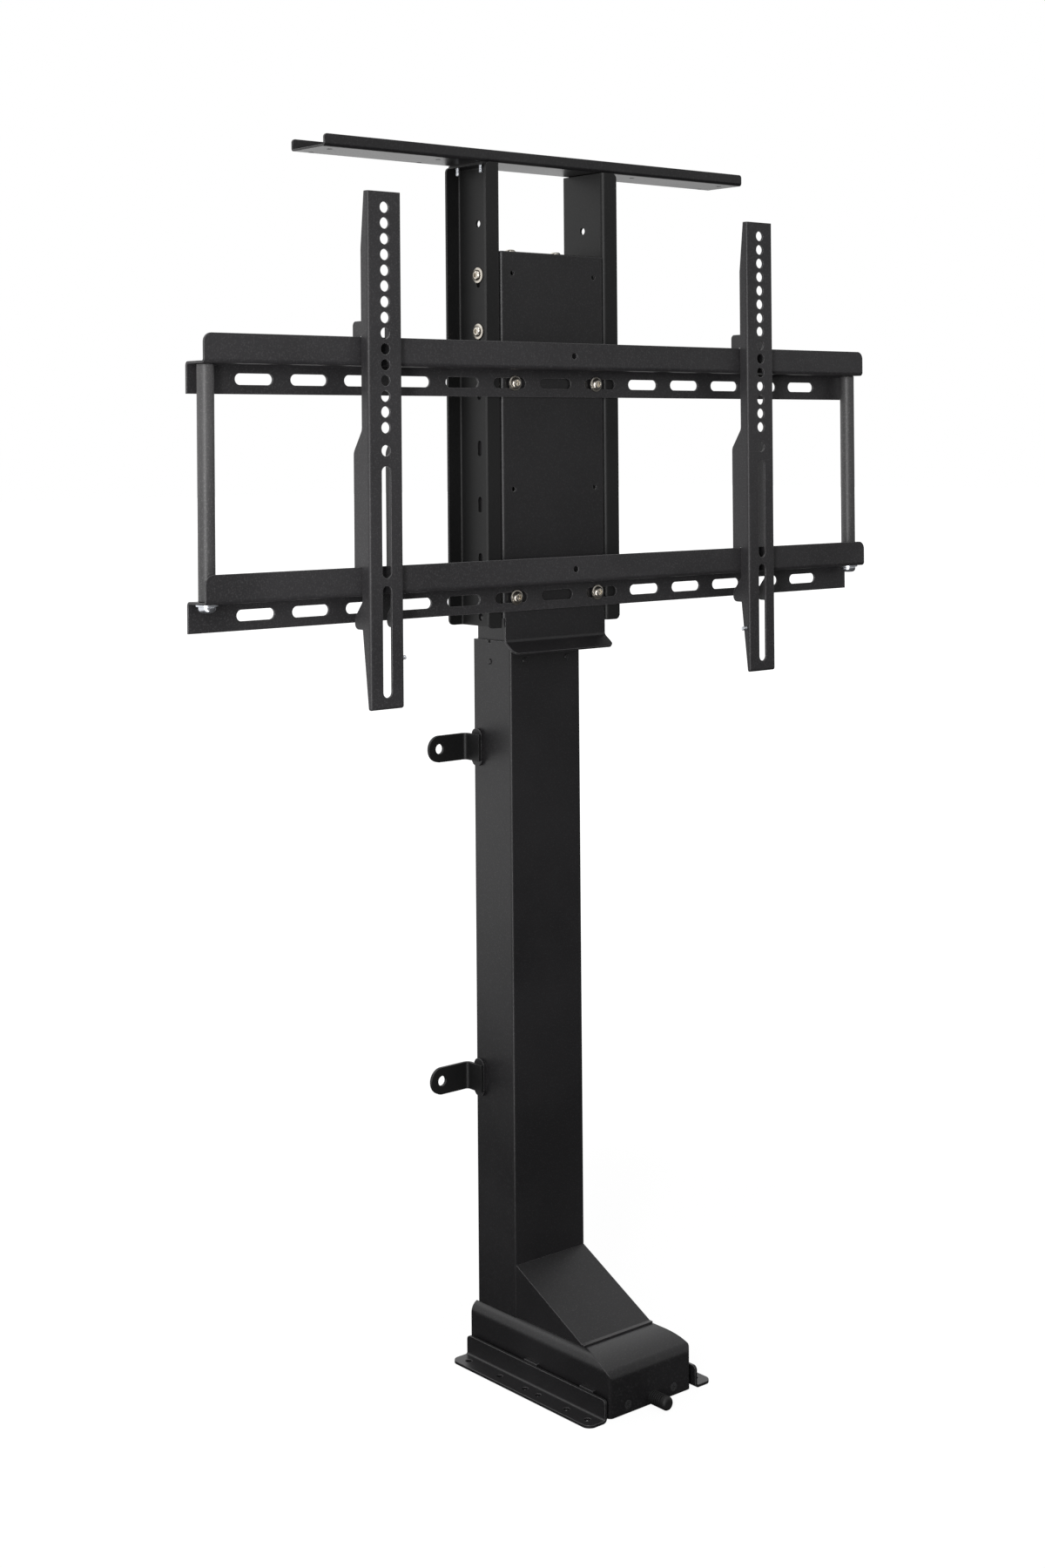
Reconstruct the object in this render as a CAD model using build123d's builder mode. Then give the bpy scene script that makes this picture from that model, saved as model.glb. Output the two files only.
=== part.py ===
# Motorised television lift: a three-stage telescopic column on a floor foot, raised by two keyed
# screws, with a carriage that carries two slotted rails and a pair of hooked mounting arms.
# Millimetres, +Z up, the front towards -Y, the origin on the floor under the column's axis.
# The moving stages are modelled part way up, each one raised by stage_raise from its lowest place.
import os
from math import atan2, cos, degrees, pi, radians, sin, sqrt, tan

from build123d import *

os.makedirs("parts", exist_ok=True)

# Sizes shared by many pieces
overrun = 1
crown_share = 0.55
socket_share = 0.36
socket_depth_share = 0.6
running_fit = 0.1
seat_gap = 0.3
thin_sheet = 1.5

# Column: three tubes, one inside the other
column_width = 86
column_depth = 55.5
tube_wall = 1.5
tube_corner = 2.5
liner_thickness = 1.2
stage_stroke = 500
stage_raise = 179
stage_gap = liner_thickness + running_fit
outer_liner_spare = 7
middle_liner_spare = 5.7
outer_liner_length = 100
middle_liner_length = 70

# Floor tray under the column and the motor
plate_thickness = 3
tray_half_width = 48.2
tray_side_height = 20
tray_front_y = -162
tray_front_half_width = 38
tray_front_height = 15
tray_back_y = column_depth / 2
clinch_radius = 5.5
clinch_length = 3

# Foot cover over the motor
cover_half_width = 50
cover_base = 1
cover_top = 50
cover_back_y = 29.2
cover_front_y = -163.8
cover_crest_y = -118
cover_nose_height = 39
cover_nose_radius = 9
cover_shoulder_radius = 11
cover_corner_radius = 4.5
cover_screw_x = 28
cover_screw_z = 8.5
cover_screw_radius = 2
cover_screw_head_radius = 3.6
cover_screw_length = 8

# Wedge housing in front of the column's foot
wedge_half_width = 42
wedge_top = 97
wedge_front_y = -118
wedge_lip = 4

# Floor brackets on both sides of the foot
bracket_sheet = 2.5
bracket_inner_x = 54
bracket_outer_x = 75.8
bracket_height = 20
bracket_front_y = -164.8
bracket_back_y = 27.8
bracket_corner_radius = 8
bracket_bend = 3
bracket_hole_x = 66
bracket_hole_radius = 3
bracket_end_hole_y = (13.7, -152.1)
bracket_middle_hole_y = (-31.5, -67.4, -85.5, -124.3)
spacer_y = (-61, -137)
spacer_length = 17
spacer_bottom = 4
spacer_top = 21.5
bracket_bolt_z = 12
bracket_bolt_radius = 3
bracket_bolt_head_radius = 5.6
bracket_bolt_head_height = 3.4
bracket_bolt_cover = 0.8

# Wall straps and the pads behind them
strap_height = 25
strap_thickness = 3
strap_wall_y = 36
strap_front_y = 12.9
strap_reach_x = 92
strap_hole_x = 79.5
strap_hole_radius = 4.75
strap_bend = 4.5
strap_levels = {"upper": 572.3, "lower": 261.7}
pad_thickness = 3
pad_width = 14
pad_height = 35
pad_corner_radius = 6
pad_y = 20

# Gearbox inside the column's foot
gearbox_left_x = -21
gearbox_right_x = 36
gearbox_half_depth = 18
gearbox_height = 34
gearbox_floor = 2
lid_thickness = 10
lid_roof = 2
spindle_bearing_radius = 14
spindle_bearing_height = 8
journal_radius = 6
sleeve_radius = 8
lid_screw_inset = 4
lid_screw_radius = 1.5
lid_screw_head_radius = 2.8
lid_screw_head_height = 2
lid_screw_length = 16

# Worm and worm wheel
wheel_teeth = 20
gear_module = 1.5
worm_pitch_radius = 5.5
worm_root_radius = 4
worm_turns = 3
worm_journal_radius = 4
worm_shoulder_radius = 5
worm_bearing_radius = 8
worm_bearing_width = 5
wheel_face = 8
wheel_lift = 1
gear_dedendum = 1.8
gear_flank = 20
worm_ridge = 1.6
worm_sink = 0.3
worm_tail = 11
worm_cavity_radius = 8.5

# Motor
motor_radius = 19
motor_length = 98
motor_nose_radius = 12
motor_nose_length = 6
motor_cap_radius = 16
motor_cap_length = 4
motor_boss_radius = 6
motor_boss_length = 3
motor_bore_depth = 13

# Cable gland on the cover's front
gland_x = 2.5
gland_z = 6.5
gland_radius = 6.2
gland_reach = 20.5
gland_neck_radius = 3
gland_ribs = 6
gland_rib_depth = 1.2
gland_rib_share = 0.6

# Screws of the column, their nuts and their seats
spindle_radius = 10
screw_spare = 7
keyway_width = 4
keyway_depth = 2.5
keyway_start = 60
shoe_clearance_above_lid = 4
nut_flange_thickness = 4
nut_flange_radius = 21
nut_body_radius = 16
nut_fit = 0.05
shoe_thickness = 12
plug_height = 10.3
thrust_ring_thickness = 5
thrust_ring_radius = 21
thrust_ring_bore = 12
screw_tube_radius = 15
screw_tube_bore = 10.7
screw_tube_flange = 5
key_tooth_width = 3.8
key_tooth_reach = 7.8
retainer_thickness = 1.7
retainer_width = 66
retainer_depth = 44
retainer_bore = 15.5
inner_nut_radius = 18
inner_nut_flange_radius = 21.5
inner_nut_height = 24
inner_shoe_gap = 1.3
inner_plug_height = 8
nut_screw_count = 4
nut_screw_radius = 1.2
nut_screw_head_radius = 2
nut_screw_head_height = 2.2
nut_screw_length = 9
inner_tube_lead = 3

# Carriage shell around the column's head
shell_half_width = 63.5
shell_sheet = 2
shell_front_y = -43.1
shell_back_y = 16
shell_side_drop = 337
shell_bend = 3
shell_roof_radius = 1.6
shell_hole_inset = 13.5
shell_hole_drops = (20.3, 219)
shell_hole_radius = 2.3
flare_top_drop = 359.5
flare_forward = 13.9
flare_fall = 9.9
flare_side_inset = 2
flare_bend = 5
flare_corner_radius = 6
cap_height = 20
cap_screw_x = 28
cap_screw_y = 14
cap_screw_radius = 3
cap_screw_head_radius = 6.5
cap_screw_head_height = 4.5
cap_screw_length = 16

# Uprights beside the shell
upright_sheet = 2.5
upright_reach = 17.4
upright_back_y = 16.6
upright_bottom_drop = 345.5
upright_tab_gap = 0.5
upright_bend = 3
upright_corner_radius = 5
upright_hole_y = -13.05
upright_top_hole_rise = 26.7
upright_pitch = 52
upright_slots = 6
upright_slot_length = 14.2
upright_slot_width = 5.5
upright_hole_radius = 3.35
upright_bolt_drops = (21, 73)
upright_bolt_radius = 2.5
upright_bolt_head_radius = 7.2
upright_bolt_head_height = 4
upright_nut_radius = 4.6
upright_nut_thickness = 4

# Top bracket
top_half_length = 256.5
top_front_y = -38.8
top_back_y = 11.5
top_sheet = 1.8
top_base_rise = 81.1
top_channel_height = 11
top_bend = 2
top_corner_radius = 3
top_hole_x = (120, 240)
top_hole_y = (-23, 5)
top_hole_radius = 2.5
tab_screw_inset = 4.9
tab_screw_y = (3.35, -30.65)
tab_screw_radius = 2
tab_screw_head_radius = 4.2
tab_screw_head_height = 2.8
tab_screw_end = 7

# Rails
rail_half_length = 400
rail_sheet = 2
rail_lip_y = -72
rail_lip_height = 24.7
rail_back_height = 24.6
rail_bend = 2.5
rail_shelf_drops = {"upper": 109.5, "lower": 306.3}
rail_slot_pitch = 55.75
rail_slot_margin = 60
rail_slot_length = 38
rail_slot_width = 9.6
rail_slot_drop = 12
rail_lip_corner = 7.5
rail_lip_hole_radius = 3.1
rail_lip_hole_rise = 12.8
rail_bolt_inset = 13.5
rail_bolt_radius = 4
rail_bolt_head_radius = 7
rail_bolt_head_height = 4.6
rail_bolt_length = 11
rail_nut_radius = 7.4
rail_nut_thickness = 5.5

# Posts between the rails
post_inset = 9.4
post_y = -58.55
post_radius = 7.2
post_edge = 0.8
post_screw_radius = 4
post_screw_head_radius = 7.35
post_screw_head_height = 5.5
post_screw_length = 18
post_washer_radius = 9.35
post_washer_thickness = 1.5

# Mounting arms
arm_places = {"left": -226.3, "right": 235}
arm_width = 36
arm_sheet = 2
arm_bend = 2.5
arm_standoff = 11.9
arm_top_rise = 39.5
arm_bottom_drop = 403.5
arm_depth = 22.5
arm_top_depth = 5.5
arm_neck_depth = 10.4
arm_taper_height = 48.9
arm_hook_rise = 13.4
arm_hook_reach = 19.2
arm_hook_corner = 4
arm_swell_drop = 55.2
arm_swell_height = 18.8
arm_swell_radius = 8
arm_bump_drop = 5.2
arm_bump_slant = 13.5
arm_bump_height = 10
arm_bump_radius = 5
arm_tail_depth = 11.3
arm_end_depth = 3.2
arm_corner_radius = 2
arm_hole_inset = 13.5
arm_hole_pitch = 13.47
arm_hole_count = 15
arm_last_hole_gap = 19.6
arm_hole_radius = 4.85
arm_slot_width = 9.6
arm_slot_length = 95.8
arm_slot_bridge = 6.3
arm_slot_inset = 10
safety_screw_rise = 42.8
safety_screw_depth = 5.6
safety_screw_radius = 1.9
safety_screw_reach = 5
safety_head_radius = 3.2
safety_head_height = 2.6

# Places worked out from the sizes
middle_rise = stage_raise
carriage_rise = 2 * stage_raise
column_half_width = column_width / 2
column_half_depth = column_depth / 2
cover_run = cover_crest_y - cover_front_y
cover_drop = cover_top - cover_nose_height
cover_sweep_radius = (cover_run**2 + cover_drop**2) / (2 * cover_drop)
upright_outer_x = shell_half_width + upright_reach
shell_hole_x = shell_half_width - shell_hole_inset
flare_half_width = shell_half_width - flare_side_inset
tab_screw_x = upright_outer_x - tab_screw_inset
rail_bolt_x = shell_half_width - rail_bolt_inset
rail_slot_count = 2 * int((rail_half_length - rail_slot_margin) / rail_slot_pitch) + 1
post_x = rail_half_length - post_inset
middle_width = column_width - 2 * (tube_wall + stage_gap)
middle_depth = column_depth - 2 * (tube_wall + stage_gap)
inner_width = middle_width - 2 * (tube_wall + stage_gap)
inner_depth = middle_depth - 2 * (tube_wall + stage_gap)
gearbox_base = plate_thickness
gearbox_top = gearbox_base + gearbox_height
lid_top = gearbox_top + lid_thickness
lower_bearing_z = gearbox_base + gearbox_floor
upper_bearing_z = lid_top - lid_roof - spindle_bearing_height
wheel_z = (lower_bearing_z + upper_bearing_z + spindle_bearing_height) / 2 + wheel_lift
wheel_pitch_radius = gear_module * wheel_teeth / 2
worm_x = wheel_pitch_radius + worm_pitch_radius
worm_lead = pi * gear_module
worm_length = worm_turns * worm_lead
worm_lead_angle = degrees(atan2(worm_lead, 2 * pi * worm_pitch_radius))
middle_nut_base = lid_top + shoe_clearance_above_lid
middle_shoe_base = middle_nut_base + nut_flange_thickness
middle_tube_base = middle_shoe_base + shoe_thickness
screw_tube_base = middle_tube_base + thrust_ring_thickness + running_fit
retainer_base = screw_tube_base + screw_tube_flange + 2 * running_fit
inner_nut_base = retainer_base + retainer_thickness + inner_shoe_gap
inner_shoe_base = inner_nut_base + nut_flange_thickness
inner_tube_base = inner_shoe_base + shoe_thickness
spindle_top = screw_tube_base + screw_tube_flange + stage_stroke + screw_spare
screw_tube_top = inner_nut_base + inner_nut_height + stage_stroke + screw_spare
column_top = middle_tube_base + stage_stroke + outer_liner_length + outer_liner_spare
middle_tube_top = inner_tube_base + stage_stroke + middle_liner_length + middle_liner_spare
inner_tube_top = middle_tube_top + inner_tube_lead

# Heights on the carriage, all measured from the shell's roof
shell_top = carriage_rise + inner_tube_top + shell_sheet
shell_side_bottom = shell_top - shell_side_drop
shell_hole_z = [shell_top - drop for drop in shell_hole_drops]
flare_top = shell_top - flare_top_drop
top_base = shell_top + top_base_rise
top_edge = top_base + top_channel_height
upright_top = top_base - upright_tab_gap
upright_bottom = shell_top - upright_bottom_drop
upright_top_hole_z = shell_top + upright_top_hole_rise
upright_bolt_z = [shell_top - drop for drop in upright_bolt_drops]
rail_shelves = {level: shell_top - drop for level, drop in rail_shelf_drops.items()}
upper_lip_top = rail_shelves["upper"] + rail_lip_height
arm_top = shell_top + arm_top_rise
arm_bottom = shell_top - arm_bottom_drop
arm_taper_z = arm_top - arm_taper_height
arm_hook_top = upper_lip_top + arm_hook_rise
arm_hook_bottom = upper_lip_top - arm_hook_reach
arm_swell_top = rail_shelves["upper"] - arm_swell_drop
arm_swell_bottom = arm_swell_top - arm_swell_height
arm_bump_top = rail_shelves["lower"] - arm_bump_drop
arm_bump_mid = arm_bump_top - arm_bump_slant
arm_bump_bottom = arm_bump_mid - arm_bump_height
arm_hole_top = arm_top - arm_hole_inset
arm_last_hole = arm_hole_top - arm_hole_pitch * (arm_hole_count - 1) - arm_last_hole_gap
lower_slot_z = arm_bottom + arm_slot_inset + arm_slot_length / 2
arm_slot_levels = (lower_slot_z, lower_slot_z + arm_slot_length + arm_slot_bridge)
safety_screw_z = arm_bottom + safety_screw_rise
carriage_plane_y = shell_front_y
arm_front_y = rail_lip_y - arm_standoff
sides = {"left": -1, "right": 1}


def save(piece, name):
    """Label a finished piece and write its file."""
    piece.part.label = name
    export_step(piece.part, f"parts/{name}.step")


def tube_section(width, depth):
    """A walled rectangle with rounded corners, drawn in the open sketch."""
    RectangleRounded(width, depth, tube_corner)
    inner_corner = tube_corner - tube_wall
    RectangleRounded(
        width - 2 * tube_wall, depth - 2 * tube_wall, inner_corner, mode=Mode.SUBTRACT
    )


def liner_section(width, depth):
    """The section of the plastic liner inside a tube of this outer size, in the open sketch."""
    bore_width = width - 2 * tube_wall
    bore_depth = depth - 2 * tube_wall
    RectangleRounded(bore_width, bore_depth, tube_corner - tube_wall)
    RectangleRounded(
        bore_width - 2 * liner_thickness,
        bore_depth - 2 * liner_thickness,
        tube_corner,
        mode=Mode.SUBTRACT,
    )


def bent_sheet(points, thickness, bend):
    """The section of a folded sheet along its middle line, drawn in the open sketch."""
    with BuildLine() as middle_line:
        FilletPolyline(*points, radius=bend)
    trace(middle_line.line, line_width=thickness)


def on_plane(plane, points):
    """Places on a plane, for Locations."""
    return [plane.location * Location((x, y, 0)) for x, y in points]


def ring_bearing(bore, radius, width):
    """A ball bearing as one ring with a groove in each face, standing on the XY plane."""
    rim = (radius - bore) / 4
    groove = width / 8
    with BuildPart() as bearing:
        with BuildSketch():
            Circle(radius)
            Circle(bore, mode=Mode.SUBTRACT)
        extrude(amount=width)
        for level, way in ((0, 1), (width, -1)):
            with BuildSketch(Plane.XY.offset(level)):
                Circle(radius - rim)
                Circle(bore + rim, mode=Mode.SUBTRACT)
            extrude(amount=way * groove, mode=Mode.SUBTRACT)
    return bearing.part


def domed_screw(head_radius, head_height, shank_radius, shank_length, socket=True):
    """A screw whose domed head sits on the XY plane, with its shank running down."""
    rim = head_height / 3
    crown = head_radius * crown_share
    with BuildPart() as screw:
        with BuildSketch(Plane.XZ):
            with BuildLine():
                Polyline((0, -shank_length), (shank_radius, -shank_length), (shank_radius, 0))
                Polyline((shank_radius, 0), (head_radius, 0), (head_radius, rim))
                TangentArc((head_radius, rim), (crown, head_height), tangent=(0, 1))
                Polyline((crown, head_height), (0, head_height), (0, -shank_length))
            make_face()
        revolve(axis=Axis.Z)
        if socket:
            with BuildSketch(Plane.XY.offset(head_height)):
                RegularPolygon(head_radius * socket_share, 6)
            extrude(amount=-head_height * socket_depth_share, mode=Mode.SUBTRACT)
    return screw.part


def hexagon_nut(radius, bore, thickness):
    """A hexagon nut standing on the XY plane."""
    with BuildPart() as nut:
        with BuildSketch():
            RegularPolygon(radius, 6)
            Circle(bore, mode=Mode.SUBTRACT)
        extrude(amount=thickness)
    return nut.part


# Base tray: floor plate with turned-up sides and front, and clinch bushes for the bracket bolts
flange_half = tray_half_width - plate_thickness / 2
with BuildPart() as base_plate:
    with BuildSketch(Plane.XZ.offset(-tray_back_y)):
        bent_sheet(
            [
                (-flange_half, tray_side_height),
                (-flange_half, plate_thickness / 2),
                (flange_half, plate_thickness / 2),
                (flange_half, tray_side_height),
            ],
            plate_thickness,
            plate_thickness,
        )
    extrude(amount=tray_back_y - tray_front_y - cover_corner_radius)
    with BuildSketch(Plane.XY):
        with Locations((0, tray_front_y + cover_corner_radius)):
            Rectangle(2 * tray_front_half_width, 2 * cover_corner_radius)
    extrude(amount=plate_thickness)
    with BuildSketch(Plane.XY):
        with Locations((0, tray_front_y + plate_thickness / 2)):
            Rectangle(2 * tray_front_half_width, plate_thickness)
    extrude(amount=tray_front_height)
    for side in sides.values():
        wall = Plane.YZ.offset(side * tray_half_width)
        inward = -side
        with BuildSketch(Plane.YZ.offset(side * (tray_half_width - plate_thickness))):
            with Locations(*[(y, bracket_bolt_z) for y in spacer_y]):
                Circle(clinch_radius)
        extrude(amount=inward * clinch_length)
        with BuildSketch(wall):
            with Locations(*[(y, bracket_bolt_z) for y in spacer_y]):
                Circle(bracket_bolt_radius)
        extrude(amount=inward * (plate_thickness + clinch_length), mode=Mode.SUBTRACT)
    with BuildSketch(Plane.XZ.offset(-tray_front_y)):
        with Locations((-cover_screw_x, cover_screw_z), (cover_screw_x, cover_screw_z)):
            Circle(cover_screw_radius)
        with Locations((gland_x, gland_z)):
            Circle(gland_neck_radius)
    extrude(amount=-plate_thickness, mode=Mode.SUBTRACT)
save(base_plate, "base_plate")

# Outer column, with a window for the motor's nose and holes for the liner's rivets
rivet_drop = 18
rivet_side_drop = 20
rivet_z = column_top - rivet_drop
rivet_side_z = column_top - rivet_side_drop
rivet_x = 26
rivet_side_y = 3
rivet_radius = 1.5
rivet_head_radius = 2.8
rivet_head_height = 1
window_left_x = 0
window_right_x = column_half_width - tube_wall - stage_gap
window_top = lid_top
notch_width = 4
notch_depth = 2.5
front_rivets = on_plane(
    Plane.XZ.offset(column_half_depth), [(-rivet_x, rivet_z), (rivet_x, rivet_z)]
)
right_rivets = on_plane(Plane.YZ.offset(column_half_width), [(rivet_side_y, rivet_side_z)])
left_rivets = on_plane(
    Plane(origin=(-column_half_width, 0, 0), x_dir=(0, 1, 0), z_dir=(-1, 0, 0)),
    [(rivet_side_y, -rivet_side_z)],
)
rivet_places = front_rivets + right_rivets + left_rivets
rivet_grip = tube_wall + liner_thickness
with BuildPart() as outer_column:
    with BuildSketch(Plane.XY.offset(plate_thickness)):
        tube_section(column_width, column_depth)
    extrude(amount=column_top - plate_thickness)
    window_width = window_right_x - window_left_x
    with BuildSketch(Plane.XZ.offset(column_half_depth)):
        with Locations((window_left_x + window_width / 2, window_top / 2)):
            Rectangle(window_width, window_top)
    extrude(amount=-tube_wall, mode=Mode.SUBTRACT)
    with BuildSketch(Plane.YZ.offset(-column_half_width)):
        with Locations((rivet_side_y, column_top)):
            Rectangle(notch_width, 2 * notch_depth)
    extrude(amount=tube_wall, mode=Mode.SUBTRACT)
    with Locations(*rivet_places):
        Hole(rivet_radius, tube_wall)
save(outer_column, "outer_column")

# Liner that the middle tube glides in, held by rivets through the column's wall
with BuildPart() as column_liner:
    with BuildSketch(Plane.XY.offset(column_top - outer_liner_length)):
        liner_section(column_width, column_depth)
    extrude(amount=outer_liner_length)
    with Locations(*rivet_places):
        Hole(rivet_radius, rivet_grip)
save(column_liner, "column_liner")

rivet = domed_screw(rivet_head_radius, rivet_head_height, rivet_radius, rivet_grip, socket=False)
with BuildPart() as liner_rivets:
    with Locations(*rivet_places):
        add(rivet)
save(liner_rivets, "liner_rivets")


def cover_block(inset, reach):
    """The foot cover's block, drawn in by inset and let out past its open sides by reach."""
    front = cover_front_y + inset
    back = cover_back_y + reach
    low = cover_base - reach
    top = cover_top - inset
    half = cover_half_width - inset
    sweep = cover_sweep_radius - inset
    nose = cover_top - cover_sweep_radius + sqrt(sweep**2 - (cover_crest_y - front) ** 2)
    with BuildPart() as block:
        with BuildSketch(Plane.YZ):
            with BuildLine():
                Polyline((front, nose), (front, low), (back, low), (back, top), (cover_crest_y, top))
                TangentArc((cover_crest_y, top), (front, nose), tangent=(-1, 0))
            make_face()
            nose_corner = vertices().group_by(Axis.X)[0].sort_by(Axis.Y)[-1]
            fillet(nose_corner, cover_nose_radius - inset)
        extrude(amount=half, both=True)
        with BuildSketch(Plane.XZ.offset(-back)):
            with Locations((0, (low + top) / 2)):
                Rectangle(2 * half, top - low)
            fillet(vertices().group_by(Axis.Y)[-1], cover_shoulder_radius - inset)
        extrude(amount=back - front, mode=Mode.INTERSECT)
        with BuildSketch(Plane.XY.offset(low)):
            with Locations((0, (front + back) / 2)):
                Rectangle(2 * half, back - front)
            fillet(vertices().group_by(Axis.Y)[0], cover_corner_radius - inset)
        extrude(amount=top - low, mode=Mode.INTERSECT)
    return block.part


# Foot cover: a folded hood, open below and behind, cut out round the column
cover_outer = cover_block(0, 0)
cover_inner = cover_block(thin_sheet, overrun)
cutout_front_y = -column_half_depth - seat_gap
with BuildPart() as foot_cover:
    add(cover_outer)
    add(cover_inner, mode=Mode.SUBTRACT)
    cutout_length = cover_back_y + overrun - cutout_front_y
    with BuildSketch(Plane.XY.offset(cover_nose_height)):
        with Locations((0, cutout_front_y + cutout_length / 2)):
            Rectangle(column_width + 2 * seat_gap, cutout_length)
    extrude(amount=cover_top, mode=Mode.SUBTRACT)
    with BuildSketch(Plane.YZ):
        with Locations(*[(y, bracket_bolt_z) for y in spacer_y]):
            Circle(bracket_bolt_radius)
    extrude(amount=cover_half_width, both=True, mode=Mode.SUBTRACT)
    with BuildSketch(Plane.XZ.offset(-cover_front_y)):
        with Locations((gland_x, gland_z)):
            Circle(gland_neck_radius)
    extrude(amount=-thin_sheet, mode=Mode.SUBTRACT)
    with Locations(
        *on_plane(
            Plane.XZ.offset(-cover_front_y),
            [(-cover_screw_x, cover_screw_z), (cover_screw_x, cover_screw_z)],
        )
    ):
        CounterSinkHole(cover_screw_radius, cover_screw_head_radius, plate_thickness)
save(foot_cover, "foot_cover")

# Countersunk screws through the cover's front into the tray
head_depth = cover_screw_head_radius - cover_screw_radius
with BuildPart() as cover_screw:
    with BuildSketch(Plane.XZ):
        with BuildLine():
            Polyline(
                (0, 0),
                (cover_screw_head_radius, 0),
                (cover_screw_radius, -head_depth),
                (cover_screw_radius, -cover_screw_length),
                (0, -cover_screw_length),
                close=True,
            )
        make_face()
    revolve(axis=Axis.Z)
    with BuildSketch():
        Rectangle(cover_screw_head_radius, head_depth / 2)
        Rectangle(head_depth / 2, cover_screw_head_radius)
    extrude(amount=-head_depth / 2, mode=Mode.SUBTRACT)
with BuildPart() as cover_screws:
    with Locations(
        *on_plane(
            Plane.XZ.offset(-cover_front_y),
            [(-cover_screw_x, cover_screw_z), (cover_screw_x, cover_screw_z)],
        )
    ):
        add(cover_screw.part)
save(cover_screws, "cover_screws")

# Wedge housing: a folded sheet with triangular cheeks, standing on the cover against the column
wedge_back_y = -column_half_depth
with BuildPart() as wedge_housing:
    with BuildSketch(Plane.YZ):
        with BuildLine():
            Polyline(
                (wedge_back_y, cover_top),
                (wedge_back_y, wedge_top),
                (wedge_front_y, cover_top + thin_sheet),
                (wedge_front_y - wedge_lip, cover_top + thin_sheet),
                (wedge_front_y - wedge_lip, cover_top),
                close=True,
            )
        make_face()
    extrude(amount=wedge_half_width, both=True)
    slope_rise = wedge_top - cover_top - thin_sheet
    slope_run = wedge_back_y - wedge_front_y
    slope_share = sqrt(slope_rise**2 + slope_run**2) / slope_run
    inner_top = wedge_top - thin_sheet * slope_share
    inner_front_y = wedge_back_y - (inner_top - cover_top) * slope_run / slope_rise
    with BuildSketch(Plane.YZ):
        with BuildLine():
            Polyline(
                (wedge_back_y, cover_top),
                (wedge_back_y, inner_top),
                (inner_front_y, cover_top),
                close=True,
            )
        make_face()
    extrude(amount=wedge_half_width - thin_sheet, both=True, mode=Mode.SUBTRACT)
save(wedge_housing, "wedge_housing")

# Floor brackets: angles along both sides of the foot, with holes for floor screws and, on the
# inside, blind holes that the bracket bolts are pressed into
bracket_length = bracket_back_y - bracket_front_y
bolt_bite = bracket_sheet - bracket_bolt_cover
for side_name, side in sides.items():
    with BuildPart() as floor_bracket:
        with BuildSketch(Plane.XZ.offset(-bracket_back_y)):
            bent_sheet(
                [
                    (side * (bracket_inner_x + bracket_sheet / 2), bracket_height),
                    (side * (bracket_inner_x + bracket_sheet / 2), bracket_sheet / 2),
                    (side * bracket_outer_x, bracket_sheet / 2),
                ],
                bracket_sheet,
                bracket_bend,
            )
        extrude(amount=bracket_length)
        outer_corners = edges().filter_by(Axis.Z).group_by(Axis.X)[-1 if side > 0 else 0]
        fillet(outer_corners, bracket_corner_radius)
        top_corners = edges().filter_by(Axis.X).group_by(Axis.Z)[-1]
        fillet(top_corners, bracket_corner_radius / 2)
        with BuildSketch(Plane.XY):
            hole_rows = [*bracket_end_hole_y, *bracket_middle_hole_y]
            with Locations(*[(side * bracket_hole_x, y) for y in hole_rows]):
                Circle(bracket_hole_radius)
        extrude(amount=bracket_sheet, mode=Mode.SUBTRACT)
        with BuildSketch(Plane.YZ.offset(side * bracket_inner_x)):
            with Locations(*[(y, bracket_bolt_z) for y in spacer_y]):
                Circle(bracket_bolt_radius)
        extrude(amount=side * bolt_bite, mode=Mode.SUBTRACT)
    save(floor_bracket, f"floor_bracket_{side_name}")

# Spacer clips between the cover and the brackets
with BuildPart() as bracket_spacers:
    for side in sides.values():
        with BuildSketch(Plane.YZ.offset(side * cover_half_width)):
            with Locations(*[(y, (spacer_bottom + spacer_top) / 2) for y in spacer_y]):
                Rectangle(spacer_length, spacer_top - spacer_bottom)
            with Locations(*[(y, bracket_bolt_z) for y in spacer_y]):
                Circle(bracket_bolt_radius, mode=Mode.SUBTRACT)
        extrude(amount=side * (bracket_inner_x - cover_half_width))
save(bracket_spacers, "bracket_spacers")

bracket_bolt_reach = bracket_inner_x + bolt_bite - tray_half_width + plate_thickness
bracket_bolt = domed_screw(
    bracket_bolt_head_radius,
    bracket_bolt_head_height,
    bracket_bolt_radius,
    bracket_bolt_reach + clinch_length,
)
bolt_seat_x = tray_half_width - plate_thickness - clinch_length
left_bolts = on_plane(Plane.YZ.offset(-bolt_seat_x), [(y, bracket_bolt_z) for y in spacer_y])
right_bolts = on_plane(
    Plane(origin=(bolt_seat_x, 0, 0), x_dir=(0, 1, 0), z_dir=(-1, 0, 0)),
    [(y, -bracket_bolt_z) for y in spacer_y],
)
with BuildPart() as bracket_bolts:
    with Locations(*right_bolts, *left_bolts):
        add(bracket_bolt)
save(bracket_bolts, "bracket_bolts")

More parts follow.
